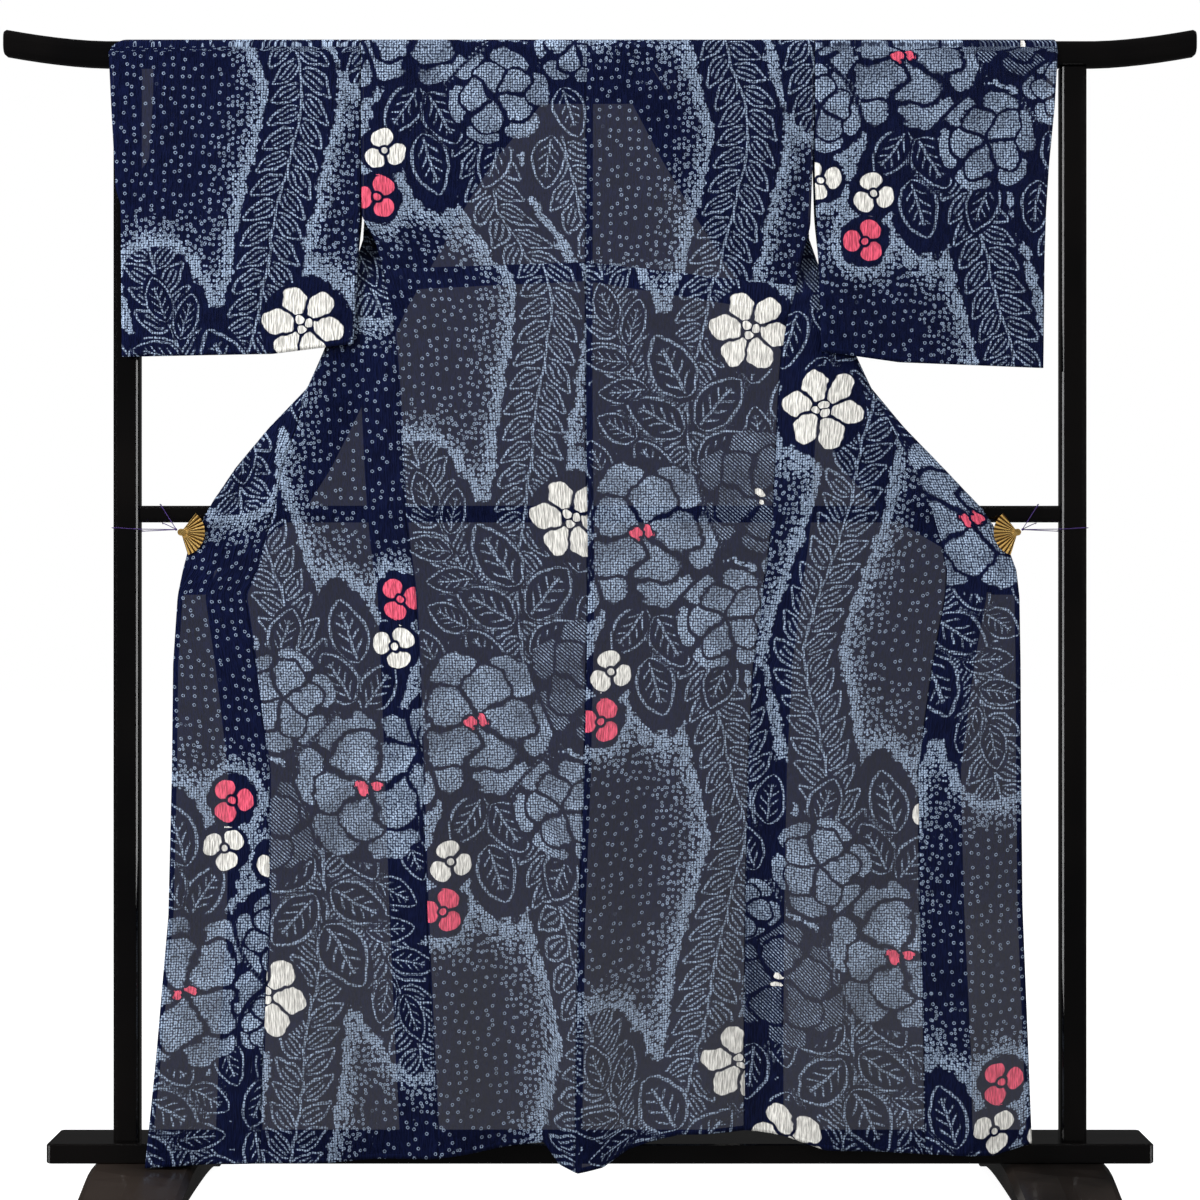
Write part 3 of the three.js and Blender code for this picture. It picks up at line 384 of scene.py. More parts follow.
def clothPiece(name, columns, rowsDown, place, node):
    # A grid of cells laid out by place(i, j), which gives points, bolt coordinates and layers
    bm = bmesh.new()
    bmesh.ops.create_grid(bm, x_segments=columns, y_segments=rowsDown, size=0.5)
    mesh = bpy.data.meshes.new(name)
    bm.to_mesh(mesh)
    bm.free()
    count = len(mesh.vertices)
    flat = np.empty(count * 3)
    mesh.vertices.foreach_get("co", flat)
    flat = flat.reshape(-1, 3)
    i = np.rint((flat[:, 0] + 0.5) * columns)
    j = np.rint((flat[:, 1] + 0.5) * rowsDown)
    spot = place(i, j)
    mesh.vertices.foreach_set("co", (spot["point"] * 0.001).ravel())
    corner = np.empty(len(mesh.loops), int)
    mesh.loops.foreach_get("vertex_index", corner)
    u, v, layers = spot["u"][corner], spot["v"][corner], spot["layers"][corner]
    faceRow = j[corner].reshape(-1, 4).min(axis=1)
    if "shift" in spot:
        v = v + spot["shift"](np.repeat(faceRow, 4))
    uvs = mesh.uv_layers.new(name="bolt")
    uvs.data.foreach_set("uv", (np.column_stack([u, v]) * 0.001).ravel())
    fields = boltFields(u, v)
    fields["layers"] = layers
    for label, values in fields.items():
        mesh.attributes.new(label, "FLOAT_VECTOR", "CORNER").data.foreach_set("vector", values.ravel())
    if "gone" in spot:
        faceColumn = i[corner].reshape(-1, 4).min(axis=1)
        gone = spot["gone"](faceColumn, faceRow)
        bm = bmesh.new()
        bm.from_mesh(mesh)
        bm.faces.ensure_lookup_table()
        bmesh.ops.delete(bm, geom=[bm.faces[k] for k in np.flatnonzero(gone)], context="FACES")
        bm.to_mesh(mesh)
        bm.free()
    mesh.polygons.foreach_set("use_smooth", [True] * len(mesh.polygons))
    piece = bpy.data.objects.new(name, mesh)
    bpy.context.scene.collection.objects.link(piece)
    wall = piece.modifiers.new("wall", "SOLIDIFY")
    wall.thickness = garment["shell"] * 0.001
    wall.offset = 0
    mesh.materials.append(cotton)
    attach(piece, "root")
    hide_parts(node)
    print(f"{name}: {len(mesh.polygons)} cells")
    return piece


def cellsIn(length):
    return max(1, round(length / garment["cell"]))


def layerField(one, two, seam):
    # Signed distances, inside positive: one more layer, two more layers, and from the nearest seam
    most = garment["farInside"]
    return np.column_stack([np.clip(one, -most, most), np.clip(two, -most, most), np.clip(seam, 0, most)])


def bodyPiece(half):
    sign, bolt = half["sign"], half["bolt"]
    top, arch, floor = tuck["drop"], garment["arch"], garment["floorDrop"]
    neckDrop, frontFrom, none = garment["neckDrop"], garment["frontFrom"], -garment["farInside"]
    low, high, over = cellsIn(floor - top), cellsIn(top - arch), cells["overBar"]
    marks = np.cumsum([0, low, high, over, cells["neckEdge"], cellsIn(floor - neckDrop)])
    topCentre = sign * centreSeam["x"][0]
    topSide = half["side"][0]
    neckShare = garment["neckOut"] / (topSide - topCentre)
    across = cellsIn(topSide - topCentre)
    neckCells = round(neckShare * across)
    # The print's step from back to front, brought in over the top of the front
    boltTop = bolt["back"] - tuck["hidden"]
    settle = wrapped(bolt["front"] - boltTop + garment["frontRun"])

    def place(i, j):
        onBack, onArch = j <= marks[2], (j > marks[2]) & (j <= marks[3])

        def pick(back, overBar, front):
            return np.where(onBack, back, np.where(onArch, overBar, front))

        share = np.interp(i, [0, neckCells, across], [0, neckShare, 1])
        level = np.interp(j, marks[:3], [floor, top, arch])
        centre = sign * np.interp(level, centreSeam["drop"], centreSeam["x"])
        side = column(half, level, "side")
        backOut = mix(centre, side, share)
        tilt = half["tilt"] * (backOut - centre)
        backDrop = level + tilt * smooth(1 - np.abs(level - top) / tuck["reach"])

        turn = np.clip((j - marks[2]) / over, 0, 1)
        archOut = mix(topCentre, topSide, share)
        archX = sign * archOut
        atArch = np.full_like(j, arch)
        archY, archDrop = archPoint(turn, nearY(archX, atArch), layersApart(archX, atArch))

        frontDrop = np.interp(j, marks[3:], [arch, neckDrop, floor])
        t = np.clip((share - neckShare) / (1 - neckShare), 0, 1)
        wrapOut, wrapY, run, _, toSeam = wrapPoints(half, "body", 1 - t, np.maximum(frontDrop, frontFrom))
        ease = np.clip((frontDrop - neckDrop) / (frontFrom - neckDrop), 0, 1)
        frontOut = mix(archOut, wrapOut, ease)
        frontY = mix(nearY(archX, frontDrop) + layersApart(archX, frontDrop), wrapY, ease)

        x = sign * pick(backOut, archOut, frontOut)
        drop = pick(backDrop, archDrop, frontDrop)
        y = pick(nearY(x, backDrop), archY, frontY)
        z = heightOf(hungDrop(x, drop))

        overRun = pick(-backDrop, garment["archRun"] * turn - arch, frontDrop + garment["frontRun"])
        v = boltTop - overRun + pick(0, 0, settle * smooth(frontDrop / 260))
        fromSide = np.where(frontDrop < frontFrom, topSide - archOut, run)
        if sign < 0:
            u = pick(side - backOut, topSide - archOut, fromSide)
        else:
            u = pick(backOut - centre, archOut - topCentre, bolt["edge"] - fromSide)

        sideTurned = np.minimum(garment["sideAllowance"] - run, (frontDrop - 300) / 2)
        centreTurned = half["centreTurned"] - (backOut - centre)
        tucked = np.minimum(backDrop - tilt - top, top + tuck["high"] - backDrop + tilt * 1.4)
        hem = garment["hemTurned"] - (floor - drop)
        seam = np.where(onBack, np.minimum(backOut - centre, side - backOut), np.minimum(run, toSeam))
        layers = layerField(np.where(onBack, centreTurned, sideTurned),
                            np.maximum(hem, np.where(onBack, tucked, none)), seam)
        return {"point": np.column_stack([x, y, z]), "u": u, "v": v, "layers": layers,
                "shift": lambda row: np.where(row < low, tuck["hidden"], 0),
                "gone": lambda col, row: (row >= marks[4]) & (col < neckCells)}

    return clothPiece(f"body_cloth_{half['name']}", across, int(marks[-1]), place, f"body_{half['name']}")


def okumiPiece(half):
    bolt = half["bolt"]
    first, floor = garment["okumiTip"] + 9, garment["floorDrop"]
    across, down = cellsIn(garment["okumiWidth"]), cellsIn(floor - first)
    turned = garment["hemTurned"]

    def place(i, j):
        drop = mix(first, floor, j / down)
        out, y, _, inward, toEdge = wrapPoints(half, "okumi", i / across, drop)
        x = half["sign"] * out
        z = heightOf(hungDrop(x, drop))
        u = bolt["okumiStart"] - half["sign"] * inward
        strip = column(okumiStrip, drop, "wide")
        onEdge = np.where(drop > garment["collarEnd"], turned - toEdge, -garment["farInside"])
        atEnd = np.minimum(drop - turnedEnd["from"], turnedEnd["to"] - drop)
        atEnd = np.minimum(atEnd, turnedEnd["wide"] - toEdge)
        doubled = np.maximum(np.maximum(onEdge, turned - (floor - drop)), atEnd)
        layers = layerField(strip - inward, doubled, np.minimum(inward, toEdge))
        return {"point": np.column_stack([x, y, z]), "u": u, "v": bolt["okumi"] - drop, "layers": layers}

    return clothPiece(f"okumi_cloth_{half['name']}", across, down, place, f"okumi_{half['name']}")


def collarPiece():
    first, last = garment["frontFrom"], garment["collarEnd"]
    arm, joint, neck = cellsIn(last - first), cells["joint"], cells["neck"]
    marks = np.cumsum([0, arm, joint, neck, joint, arm])
    across = cellsIn(garment["collarWidth"])
    seamDrop = garment["neckDrop"] + 0.6
    neckCentre = centreSeam["x"][0]

    def neckPoint(share, along):
        x = neckCentre + along * mix(garment["neckOut"] - 2, garment["bandHalfNeck"], share)
        drop = mix(seamDrop, garment["bandDrop"], share)
        return np.column_stack([x, nearY(x, drop) + layersApart(x, drop), heightOf(drop)])

    def armPoint(half, share, drop):
        out, y, _, _, _ = wrapPoints(half, "collar", share, drop)
        x = half["sign"] * out
        return np.column_stack([x, y, heightOf(hungDrop(x, drop))])

    def place(i, j):
        share = i / across
        leftDrop = np.interp(j, marks[:2], [last, first])
        rightDrop = np.interp(j, marks[4:], [first, last])
        along = np.interp(j, marks[2:4], [-1, 1])
        point = neckPoint(share, along)
        toLeft = smooth((marks[2] - j) / joint)[:, None]
        toRight = smooth((j - marks[3]) / joint)[:, None]
        point = mix(mix(point, armPoint(leftHalf, share, leftDrop), toLeft),
                    armPoint(rightHalf, share, rightDrop), toRight)
        most = np.full_like(share, garment["farInside"])
        u = collarBolt["x"] + garment["collarWidth"] * share
        v = collarBolt["y"] + j * garment["cell"]
        return {"point": point, "u": u, "v": v, "layers": layerField(most, -most, most)}

    return clothPiece("collar_cloth", across, int(marks[-1]), place, "collar")


def sleevePiece(sleeve):
    sign, overBar, touching = sleeve["sign"], garment["overBar"], sleeveHang["touching"]
    deep, over = cellsIn(sleeveHang["length"]), cells["overBar"]
    marks = np.cumsum([0, deep, over, deep])
    across = cellsIn(sleeveHang["width"])

    def place(i, j):
        share = i / across
        bottom = np.interp(share, [0, 0.35, 1], sleeve["bottom"])
        t = np.interp(j, marks, [1, 0, 0, 1])
        turn = np.clip((j - marks[1]) / over, 0, 1)
        drop = mix(garment["arch"], bottom, t)
        inner, outer = column(sleeve, drop, "inner"), column(sleeve, drop, "outer")
        swing = smooth((drop - sleeveHang["swingDrop"]) / sleeveHang["swingOver"])
        crown = sleeveHang["crown"] * np.sin(share * np.pi)
        rejoin = smooth((drop - 170) / 60)
        farOuter = mix(np.minimum(outer, sleeve["farOut"]), outer - touching, rejoin)
        edge = mix(outer, farOuter, turn)
        out = mix(inner, edge, share)
        x = sign * out
        soft = (ridges(sleeveCreases, x, drop) + ripple(x, drop)) * smooth(drop / 60)
        near = column(lean, drop, "near") - (sleeveHang["forward"] + crown) * swing - soft
        atCuff = 1 - smooth((drop - 60) / (sleeve["cuff"] - 78))
        atBody = 1 - smooth((drop - garment["sleeveHold"]) / 75)
        hollow = sleeveHang["hollow"] * np.sin(share * np.pi) * smooth((share + 0.1) * 2)
        wide = mix(mix(4 + hollow, overBar, atBody), mix(touching, overBar, atCuff), smooth(share))
        apart = np.maximum(touching, mix(wide, touching, smooth((t - 0.72) / 0.28)))
        archY, archDrop = archPoint(turn, near, overBar)
        onArch = (turn > 0) & (turn < 1)
        y = np.where(onArch, archY, np.where(turn > 0, near + apart, near))
        drop = np.where(onArch, archDrop, drop)
        u = x + sleeve["boltX"]
        v = sleeve["boltY"] + np.where(turn > 0, -drop - garment["archRun"] * turn, drop)
        seam = np.minimum(out - inner, bottom - drop)
        layers = layerField(sleeveHang["turned"] - seam, sleeveHang["cuffTurned"] - (edge - out), seam)
        return {"point": np.column_stack([x, y, heightOf(drop)]), "u": u, "v": v, "layers": layers}

    name = sleeve["name"]
    return clothPiece(f"sleeve_cloth_{name}", across, int(marks[-1]), place, f"sleeve_{name}")


class Number:
    # A number that varies over a surface. The usual operators add Math nodes. A product adds its
    # node only where it is used as it is, because a product and a sum make one node.
    def __init__(self, board, made=None, factors=None):
        self.board = board
        self.made = made
        self.factors = factors

    @property
    def socket(self):
        if self.made is None:
            self.made = self.factors[0].math("MULTIPLY", self.factors[1]).made
        return self.made

    def math(self, operation, *others):
        values = dict(enumerate((self, *others)))
        node = self.board.node("ShaderNodeMath", {"operation": operation}, values)
        return Number(self.board, node.outputs[0])

    def negated(self):
        if self.factors and not isinstance(self.factors[1], Number):
            return self.factors[0] * -self.factors[1]
        return self * -1.0

    def __add__(self, other):
        for product, rest in ((self, other), (other, self)):
            if isinstance(product, Number) and product.factors:
                return product.factors[0].math("MULTIPLY_ADD", product.factors[1], rest)
        return self.math("ADD", other)

    def __sub__(self, other):
        return self + (other.negated() if isinstance(other, Number) else -other)

    def __rsub__(self, other):
        return self.negated() + other

    def __mul__(self, other):
        return Number(self.board, None, (self, other))

    def __truediv__(self, other):
        return self.math("DIVIDE", other)

    def __pow__(self, other):
        return self.math("POWER", other)

    def __abs__(self):
        return self.math("ABSOLUTE")

    __radd__ = __add__
    __rmul__ = __mul__


class Board:
    # A material's nodes
    def __init__(self, name):
        self.material = bpy.data.materials.new(name)
        self.material.use_nodes = True
        self.tree = self.material.node_tree
        self.shader = self.tree.nodes["Principled BSDF"]

    def node(self, kind, settings=None, values=None):
        node = self.tree.nodes.new(kind)
        for key, value in (settings or {}).items():
            setattr(node, key, value)
        for key, value in (values or {}).items():
            self.feed(node.inputs[key], value)
        return node

    def feed(self, socket, value):
        if isinstance(value, Number):
            self.tree.links.new(value.socket, socket)
        elif isinstance(value, bpy.types.NodeSocket):
            self.tree.links.new(value, socket)
        elif hasattr(value, "__len__") and len(value) == 3 and socket.type == "RGBA":
            socket.default_value = (*value, 1)
        else:
            socket.default_value = value

    def attribute(self, name):
        node = self.node("ShaderNodeAttribute", {"attribute_name": name})
        return self.split(node.outputs["Vector"])

    def split(self, vector):
        node = self.node("ShaderNodeSeparateXYZ", None, {0: vector})
        return [Number(self, socket) for socket in node.outputs]

    def stretched(self, vector, scale, offset=(0, 0, 0)):
        values = {"Vector": vector, "Scale": scale, "Location": offset}
        return self.node("ShaderNodeMapping", None, values).outputs[0]

    def noise(self, vector, scale, detail=2.0, flat=False):
        values = {"Vector": vector, "Scale": scale, "Detail": detail}
        return self.node("ShaderNodeTexNoise", {"noise_dimensions": "2D" if flat else "3D"}, values)

    def grain(self, vector, scale, detail=2.0, flat=False):
        return Number(self, self.noise(vector, scale, detail, flat).outputs[0])

    def cells(self, vector, scale, randomness):
        # The distance from the nearest of scattered points, and a chance of each point's own
        values = {"Vector": vector, "Scale": scale, "Randomness": randomness}
        node = self.node("ShaderNodeTexVoronoi", {"voronoi_dimensions": "2D"}, values)
        return Number(self, node.outputs["Distance"]), self.split(node.outputs["Color"])[0]

    def ramp(self, value, low, high, first=0.0, last=1.0):
        values = {0: value, 1: low, 2: high, 3: first, 4: last}
        node = self.node("ShaderNodeMapRange", {"interpolation_type": "SMOOTHSTEP"}, values)
        return Number(self, node.outputs[0])

    def blend(self, share, first, last):
        node = self.node("ShaderNodeMix", {"data_type": "RGBA"}, {0: share, 6: first, 7: last})
        return node.outputs[2]

    def bump(self, height, distance):
        return self.node("ShaderNodeBump", None, {"Height": height, "Distance": distance}).outputs[0]

    def finish(self, **values):
        for name, value in values.items():
            self.feed(self.shader.inputs[name.replace("_", " ")], value)
        return self.material


dye = {
    "navy": (0.0030, 0.0052, 0.0260), "pale": (0.400, 0.510, 0.680),
    "white": (0.88, 0.865, 0.815), "pink": (0.86, 0.115, 0.195),
    "seeThrough": 0.025, "seeThroughWhite": 0.02,
    "tinyPitch": 3.7, "middlePitch": 6.6, "widePitch": 14.0, "hatchPitch": 6.0,
    "dot": 1.35, "middleRing": 1.5, "wideRing": 1.9, "leafWidth": 23.0,
}
# Half the width of each kind of drawn line, in millimetres
pen = {"vineLeaf": 1.7, "vineInner": 1.5, "vineStem": 1.6, "broadLeaf": 1.8, "rib": 1.6, "vein": 1.7}
petalRings = {  # count and turn, then in parts of the reach: middle, half length, half width, gap
    "inner": (5, 0.3, 0.40, 0.360, 0.320, 0.050), "outer": (6, 1.1, 0.82, 0.220, 0.36, 0.050),
    "three": (3, 0.0, 0.57, 0.40, 0.50, 0.10), "six": (6, 0.2, 0.595, 0.365, 0.300, 0.042),
    "heart": (3, 0.5, 0.12, 0.09, 0.11, 0.015),
}
# In parts of a blossom's reach: middle u and v, half u and v
stamenSpots = [(-0.09, 0.07, 0.085, 0.065), (0.10, -0.03, 0.070, 0.075)]
whiteSpots = [(0.02, -0.08, 0.075, 0.055), (0.03, 0.08, 0.06, 0.05)]


def cottonMaterial():
    board = Board("yukataCotton")
    ramp, blend = board.ramp, board.blend
    bolt = board.node("ShaderNodeUVMap", {"uv_map": "bolt"}).outputs[0]
    drift = [value - 0.5 for value in board.split(board.noise(bolt, 60, 1).outputs[1])]
    shifted = board.stretched(bolt, (1, 1, 1), (3, 7, 0))
    sway = [value - 0.5 for value in board.split(board.noise(shifted, 20, 1).outputs[1])]
    layerOne, layerTwo, seam = board.attribute("layers")
    smallKind, bloomKind, vineFar = board.attribute("kinds")
    smallApart, bloomApart, leafApart = board.attribute("apart")

    def line(off, half):
        return ramp(abs(off), half * 0.6, half * 1.4, 1.0, 0.0)

    def within(value, limit, ease):
        return ramp(value, limit - ease, limit + ease, 1.0, 0.0)

    # Tied dots and rings: those whose chance is over their share are left out
    tinyAway, tinyChance = board.cells(bolt, 1000 / dye["tinyPitch"], 0.4)
    tiny = within(tinyAway * dye["tinyPitch"], dye["dot"], 0.5)
    middleAway, middleChance = board.cells(bolt, 1000 / dye["middlePitch"], 0.75)
    middle = ramp(abs(middleAway * dye["middlePitch"] - dye["middleRing"]), 0.30, 0.95, 1.0, 0.0)
    wideAway, wideChance = board.cells(bolt, 1000 / dye["widePitch"], 0.75)
    broad = ramp(abs(wideAway * dye["widePitch"] - dye["wideRing"]), 0.25, 0.90, 1.0, 0.0)

    # The long vines: pairs of leaves set along a stem
    alongVine, offVine, outside = board.attribute("vine")
    alongVine = alongVine + drift[0] * 7 + sway[0] * 12
    offVine = offVine + drift[1] * 5 + sway[1] * 9
    slope = math.radians(vineLeaf["angle"])
    half = vineLeaf["pitch"] * math.sin(slope) / 2
    aside = abs(offVine)
    steps = alongVine + offVine.math("SIGN") * (vineLeaf["pitch"] / 4)
    acrossLeaf = (aside * math.cos(slope) - steps * math.sin(slope)).math("WRAP", half, -half)
    upLeaf = (aside / math.sin(slope) - acrossLeaf / math.tan(slope)) / vineLeaf["long"]
    kept = upLeaf.math("MAXIMUM", 0.0).math("MINIMUM", 1.0)
    leafEdge = ((kept**0.8) * math.pi).math("SINE") * vineLeaf["half"]
    onLeaf = within(abs(upLeaf - 0.52), 0.46, 0.02)
    outline = line(abs(acrossLeaf) - leafEdge, pen["vineLeaf"]) * onLeaf
    onInner = within(abs(upLeaf - 0.42), 0.26, 0.02)
    innerEdge = line(abs(acrossLeaf) - leafEdge * 0.34, pen["vineInner"]) * onInner
    stem = line(offVine, pen["vineStem"])
    vineLines = outline.math("MAXIMUM", stem).math("MAXIMUM", innerEdge * 0.85)
    vineLines = vineLines * within(vineFar, vineLeaf["band"] + 3, 2)

    # The broad single leaves, each with a few loose veins
    p, q, leafFar = board.attribute("leaf")
    p, q = p + drift[1] * 0.16 + sway[0] * 0.22, q + drift[2] * 0.20 + sway[2] * 0.30
    bulge = ((1 - p * p).math("MAXIMUM", 0.0) ** 0.72) * (1 - p * 0.24)
    acrossBroad = q * dye["leafWidth"]
    broadLine = line((abs(q) - bulge) * dye["leafWidth"], pen["broadLeaf"]) * within(abs(p), 1.0, 0.02)
    rib = line(acrossBroad, pen["rib"]) * within(abs(p + 0.16), 0.72, 0.03)
    veinPhase = (p * 2.7 - abs(q) * 1.7).math("WRAP", 0.5, -0.5)
    veins = line(veinPhase * 15, pen["vein"]) * within(abs(q) - bulge * 0.58, 0.0, 0.05)
    veins = veins * within(abs(p + 0.1), 0.62, 0.04) * ramp(abs(acrossBroad), 2.4, 3.6)
    leafLines = broadLine.math("MAXIMUM", rib).math("MAXIMUM", veins) * ramp(leafApart, 0.8, 2.0)
    onBroad = within(leafFar, leafGround + 0.02, 0.03)

    # Petals in a ring: each an oval, parted from its neighbours by an even gap
    def petals(u, v, count, turn, middleAt, halfLong, halfWide, gap):
        radius = (u * u + v * v).math("SQRT")
        angle = (v.math("ARCTAN2", u) + turn).math("WRAP", math.pi / count, -math.pi / count)
        ahead = radius * angle.math("COSINE") * (1 / halfLong) - middleAt / halfLong
        beside = radius * angle.math("SINE") * (1 / halfWide)
        parted = radius * (math.pi / count - abs(angle)).math("SINE")
        oval = ahead * ahead + beside * beside
        return oval, within(oval, 1.0, 0.07) * ramp(parted, gap * 0.6, gap * 1.3)

    # How far from the nearer of two oval spots, as the square of its share of their reach
    def fromSpots(u, v, spots):
        away = []
        for atU, atV, halfU, halfV in spots:
            aside, above = u * (1 / halfU) - atU / halfU, v * (1 / halfV) - atV / halfV
            away.append(aside * aside + above * above)
        return away[0].math("MINIMUM", away[1])

    # The blossoms: two rings of petals filled with dots or hatching, some with pink stamens
    u, v, bloomFar = board.attribute("bloom")
    ragged = tinyChance - 0.5
    u = u + drift[0] * 0.10 + sway[1] * 0.42 + ragged * 0.035
    v = v + drift[2] * 0.10 + sway[0] * 0.42
    inner, innerOn = petals(u, v, *petalRings["inner"])
    _, outerOn = petals(u, v, *petalRings["outer"])
    petal = innerOn.math("MAXIMUM", outerOn * ramp(inner, 1.34, 1.52)) * ramp(bloomApart, 1.6, 3.4)
    onBloom = within(bloomFar, 1.06, 0.02)
    acrossBolt, downBolt, _ = board.split(bolt)
    hatchTurns = 1000 * 2 * math.pi / dye["hatchPitch"]
    hatchWave = ((acrossBolt - downBolt * 1.1) * hatchTurns).math("SINE")
    hatched = ramp(bloomKind, 1.45, 1.55)
    dotTone = (tiny * 0.70 + 0.06) * (1 - hatched)
    hatchTone = ramp(hatchWave, -0.1, 0.7) * hatched * (tiny * 0.5 + 0.16)
    petalTone = petal * (dotTone + hatchTone) * (sway[2] * 1.5 + 1.0)
    bloomWhole = onBloom * ramp(bloomApart, 3.0, 5.0)
    stamen = fromSpots(u, v, stamenSpots)
    stamened = ramp(bloomKind, 0.45, 0.55, 1.0, 0.0)
    stamenOn = within(stamen, 1.0, 0.12) * stamened * bloomWhole
    stamenMoat = within(stamen, 2.1, 0.2) * stamened * bloomWhole
    bitsOn = within(fromSpots(u, v, whiteSpots), 1.0, 0.12) * hatched * bloomWhole

    # The white and pink flowers, left undyed or dyed whole
    a, b, smallFar = board.attribute("small")
    a, b = a + drift[0] * 0.16 + sway[2] * 0.22, b + drift[1] * 0.16 + sway[1] * 0.22
    large = ramp(smallKind, 1.45, 1.55)
    _, threeOn = petals(a, b, *petalRings["three"])
    _, sixOn = petals(a, b, *petalRings["six"])
    _, heartOn = petals(a, b, *petalRings["heart"])
    heart = (a * a + b * b).math("SQRT")
    threeOn = (threeOn * ramp(heart, 0.25, 0.30)).math("MAXIMUM", within(heart, 0.155, 0.02))
    flower = mixed(threeOn, sixOn * ramp(heart, 0.21, 0.25) + heartOn, large)
    onSmall = within(smallFar, 1.03, 0.015)
    flower = flower * within(smallFar, 0.99, 0.01) * ramp(smallApart, 0.8, 1.8)
    pinkOnes = within(abs(smallKind - 1.0), 0.5, 0.05)

    # The ground: sparse rings, crowding together to a bright scalloped edge along the foliage
    edge = outside + drift[2] * 16 + sway[0] * 12 + ragged * 4
    tinyShare = ramp(edge, 4.0, 28.0, 1.06, -0.06)
    middleShare = ramp(edge, 8.0, 74.0, 0.95, -0.05)
    openRings = broad * ramp(wideChance, 0.86, 0.88, 0.48, 0.0)
    closeRings = middle * ramp(middleShare - middleChance, -0.04, 0.04) * 0.52
    fullDots = (tiny * 0.76 + 0.03) * ramp(tinyShare - tinyChance, -0.04, 0.04)
    ground = openRings.math("MAXIMUM", closeRings).math("MAXIMUM", fullDots) * ramp(edge, -0.8, 0.8)

    beaded = tiny * 0.72 + 0.07
    tone = ground.math("MAXIMUM", vineLines * beaded)
    tone = mixed(tone, leafLines * beaded, onBroad)
    tone = mixed(tone, petalTone, onBloom)
    tone = tone * (1 - stamenMoat) * (1 - onSmall)

    threads = board.grain(board.stretched(bolt, (2100, 160, 1)), 1, 0, True)
    crepe = board.grain(board.stretched(bolt, (430, 58, 1)), 1, 1, True)
    tone = tone * (threads * 0.5 + 0.75)
    # Painted shade: the colour is made darker in the grooves of the crepe that the bump draws, and the dye's
    # uneven tone is mixed in with it
    paintedCrepeShade = ramp(crepe, 0.34, 0.64)
    crepeShadeAndTone = paintedCrepeShade * 0.42 + sway[2] * 0.4 + 0.78

    def scaled(colour, amount):
        node = board.node("ShaderNodeVectorMath", {"operation": "SCALE"}, {0: colour, "Scale": amount})
        return node.outputs[0]

    # The undyed white and pink parts get the same painted shade in the crepe's grooves
    undyedCrepeShade = paintedCrepeShade * 0.42 + 0.58
    creamy, rosy = scaled(dye["white"], undyedCrepeShade), scaled(dye["pink"], undyedCrepeShade)
    colour = scaled(blend(tone, dye["navy"], dye["pale"]), crepeShadeAndTone)
    colour = blend(stamenOn, colour, rosy)
    colour = blend(bitsOn, colour, creamy)
    colour = blend(flower * (1 - pinkOnes), colour, creamy)
    colour = blend(flower * pinkOnes, colour, rosy)

    # Two faces of the shell share the cloth's own see-through, once for each layer
    layers = 1 + ramp(layerOne, -0.4, 0.4) + ramp(layerTwo, -0.4, 0.4) * 2 + ramp(seam, 1.0, 2.2, 1.0, 0.0)
    undyed = flower.math("MAXIMUM", stamenOn).math("MAXIMUM", bitsOn)
    clear = (threads * 0.6 + 0.7) * mixed(dye["seeThrough"], dye["seeThroughWhite"], undyed)
    alpha = 1 - clear ** (layers * 0.5)

    normal = board.bump(crepe + ramp(seam, 0.0, 5.0) * 0.2, 0.0028)
    cloth = board.finish(Base_Color=colour, Alpha=alpha, Roughness=0.86, Normal=normal,
                         Specular_IOR_Level=0.16)
    cloth.use_transparent_shadow = False
    return cloth


def lacquerMaterial(name, tint, rough):
    board = Board(name)
    place = board.node("ShaderNodeTexCoord").outputs["Object"]
    flow = board.grain(board.stretched(place, (1, 1, 14)), 6, 3)
    brushed = board.grain(place, 3.5, 3)
    colour = board.blend(board.ramp(brushed, 0.35, 0.7), (0.0011, 0.0010, 0.0012), tint)
    roughness = flow * 0.05 + rough
    normal = board.bump(board.grain(place, 26, 2), 0.00025)
    return board.finish(Base_Color=colour, Roughness=roughness, Normal=normal, Coat_Weight=1.0,
                        Coat_Roughness=rough * 0.4)


def gildedMaterial():
    board = Board("clipGilding")
    place = board.node("ShaderNodeTexCoord").outputs["Object"]
    x, _, z = board.split(place)
    worn = board.grain(place, 160, 3)
    inward, above = fan["out"] - abs(x), z - fan["height"]
    reach = (inward * inward + above * above).math("SQRT")
    pleat = (above.math("ARCTAN2", inward) * fan["pleats"]).math("SINE")
    # Painted shade: the gilding turns nearly black in the valleys between the fan's pleats, which the bump
    # also draws
    outer = board.ramp(reach, 0.007, 0.011)
    pleats = board.ramp(pleat, -0.55, 0.25) * outer + 1 - outer
    colour = board.blend(worn, (0.78, 0.44, 0.095), (1.0, 0.70, 0.26))
    colour = board.blend(pleats, (0.085, 0.038, 0.008), colour)
    return board.finish(Base_Color=colour, Metallic=0.6, Roughness=worn * 0.2 + 0.25,
                        Normal=board.bump(pleat, 0.0007))


def cordMaterial():
    board = Board("cordThread")
    place = board.node("ShaderNodeTexCoord").outputs["Object"]
    x, _, z = board.split(place)
    twist = ((x + z) * 5200).math("SINE")
    # Painted shade: the cord's colour is darker in the grooves of its twist, which the bump also draws
    colour = board.blend(board.ramp(twist, -0.6, 0.6), (0.045, 0.022, 0.13), (0.11, 0.06, 0.27))
    return board.finish(Base_Color=colour, Roughness=0.8, Normal=board.bump(twist, 0.0004))


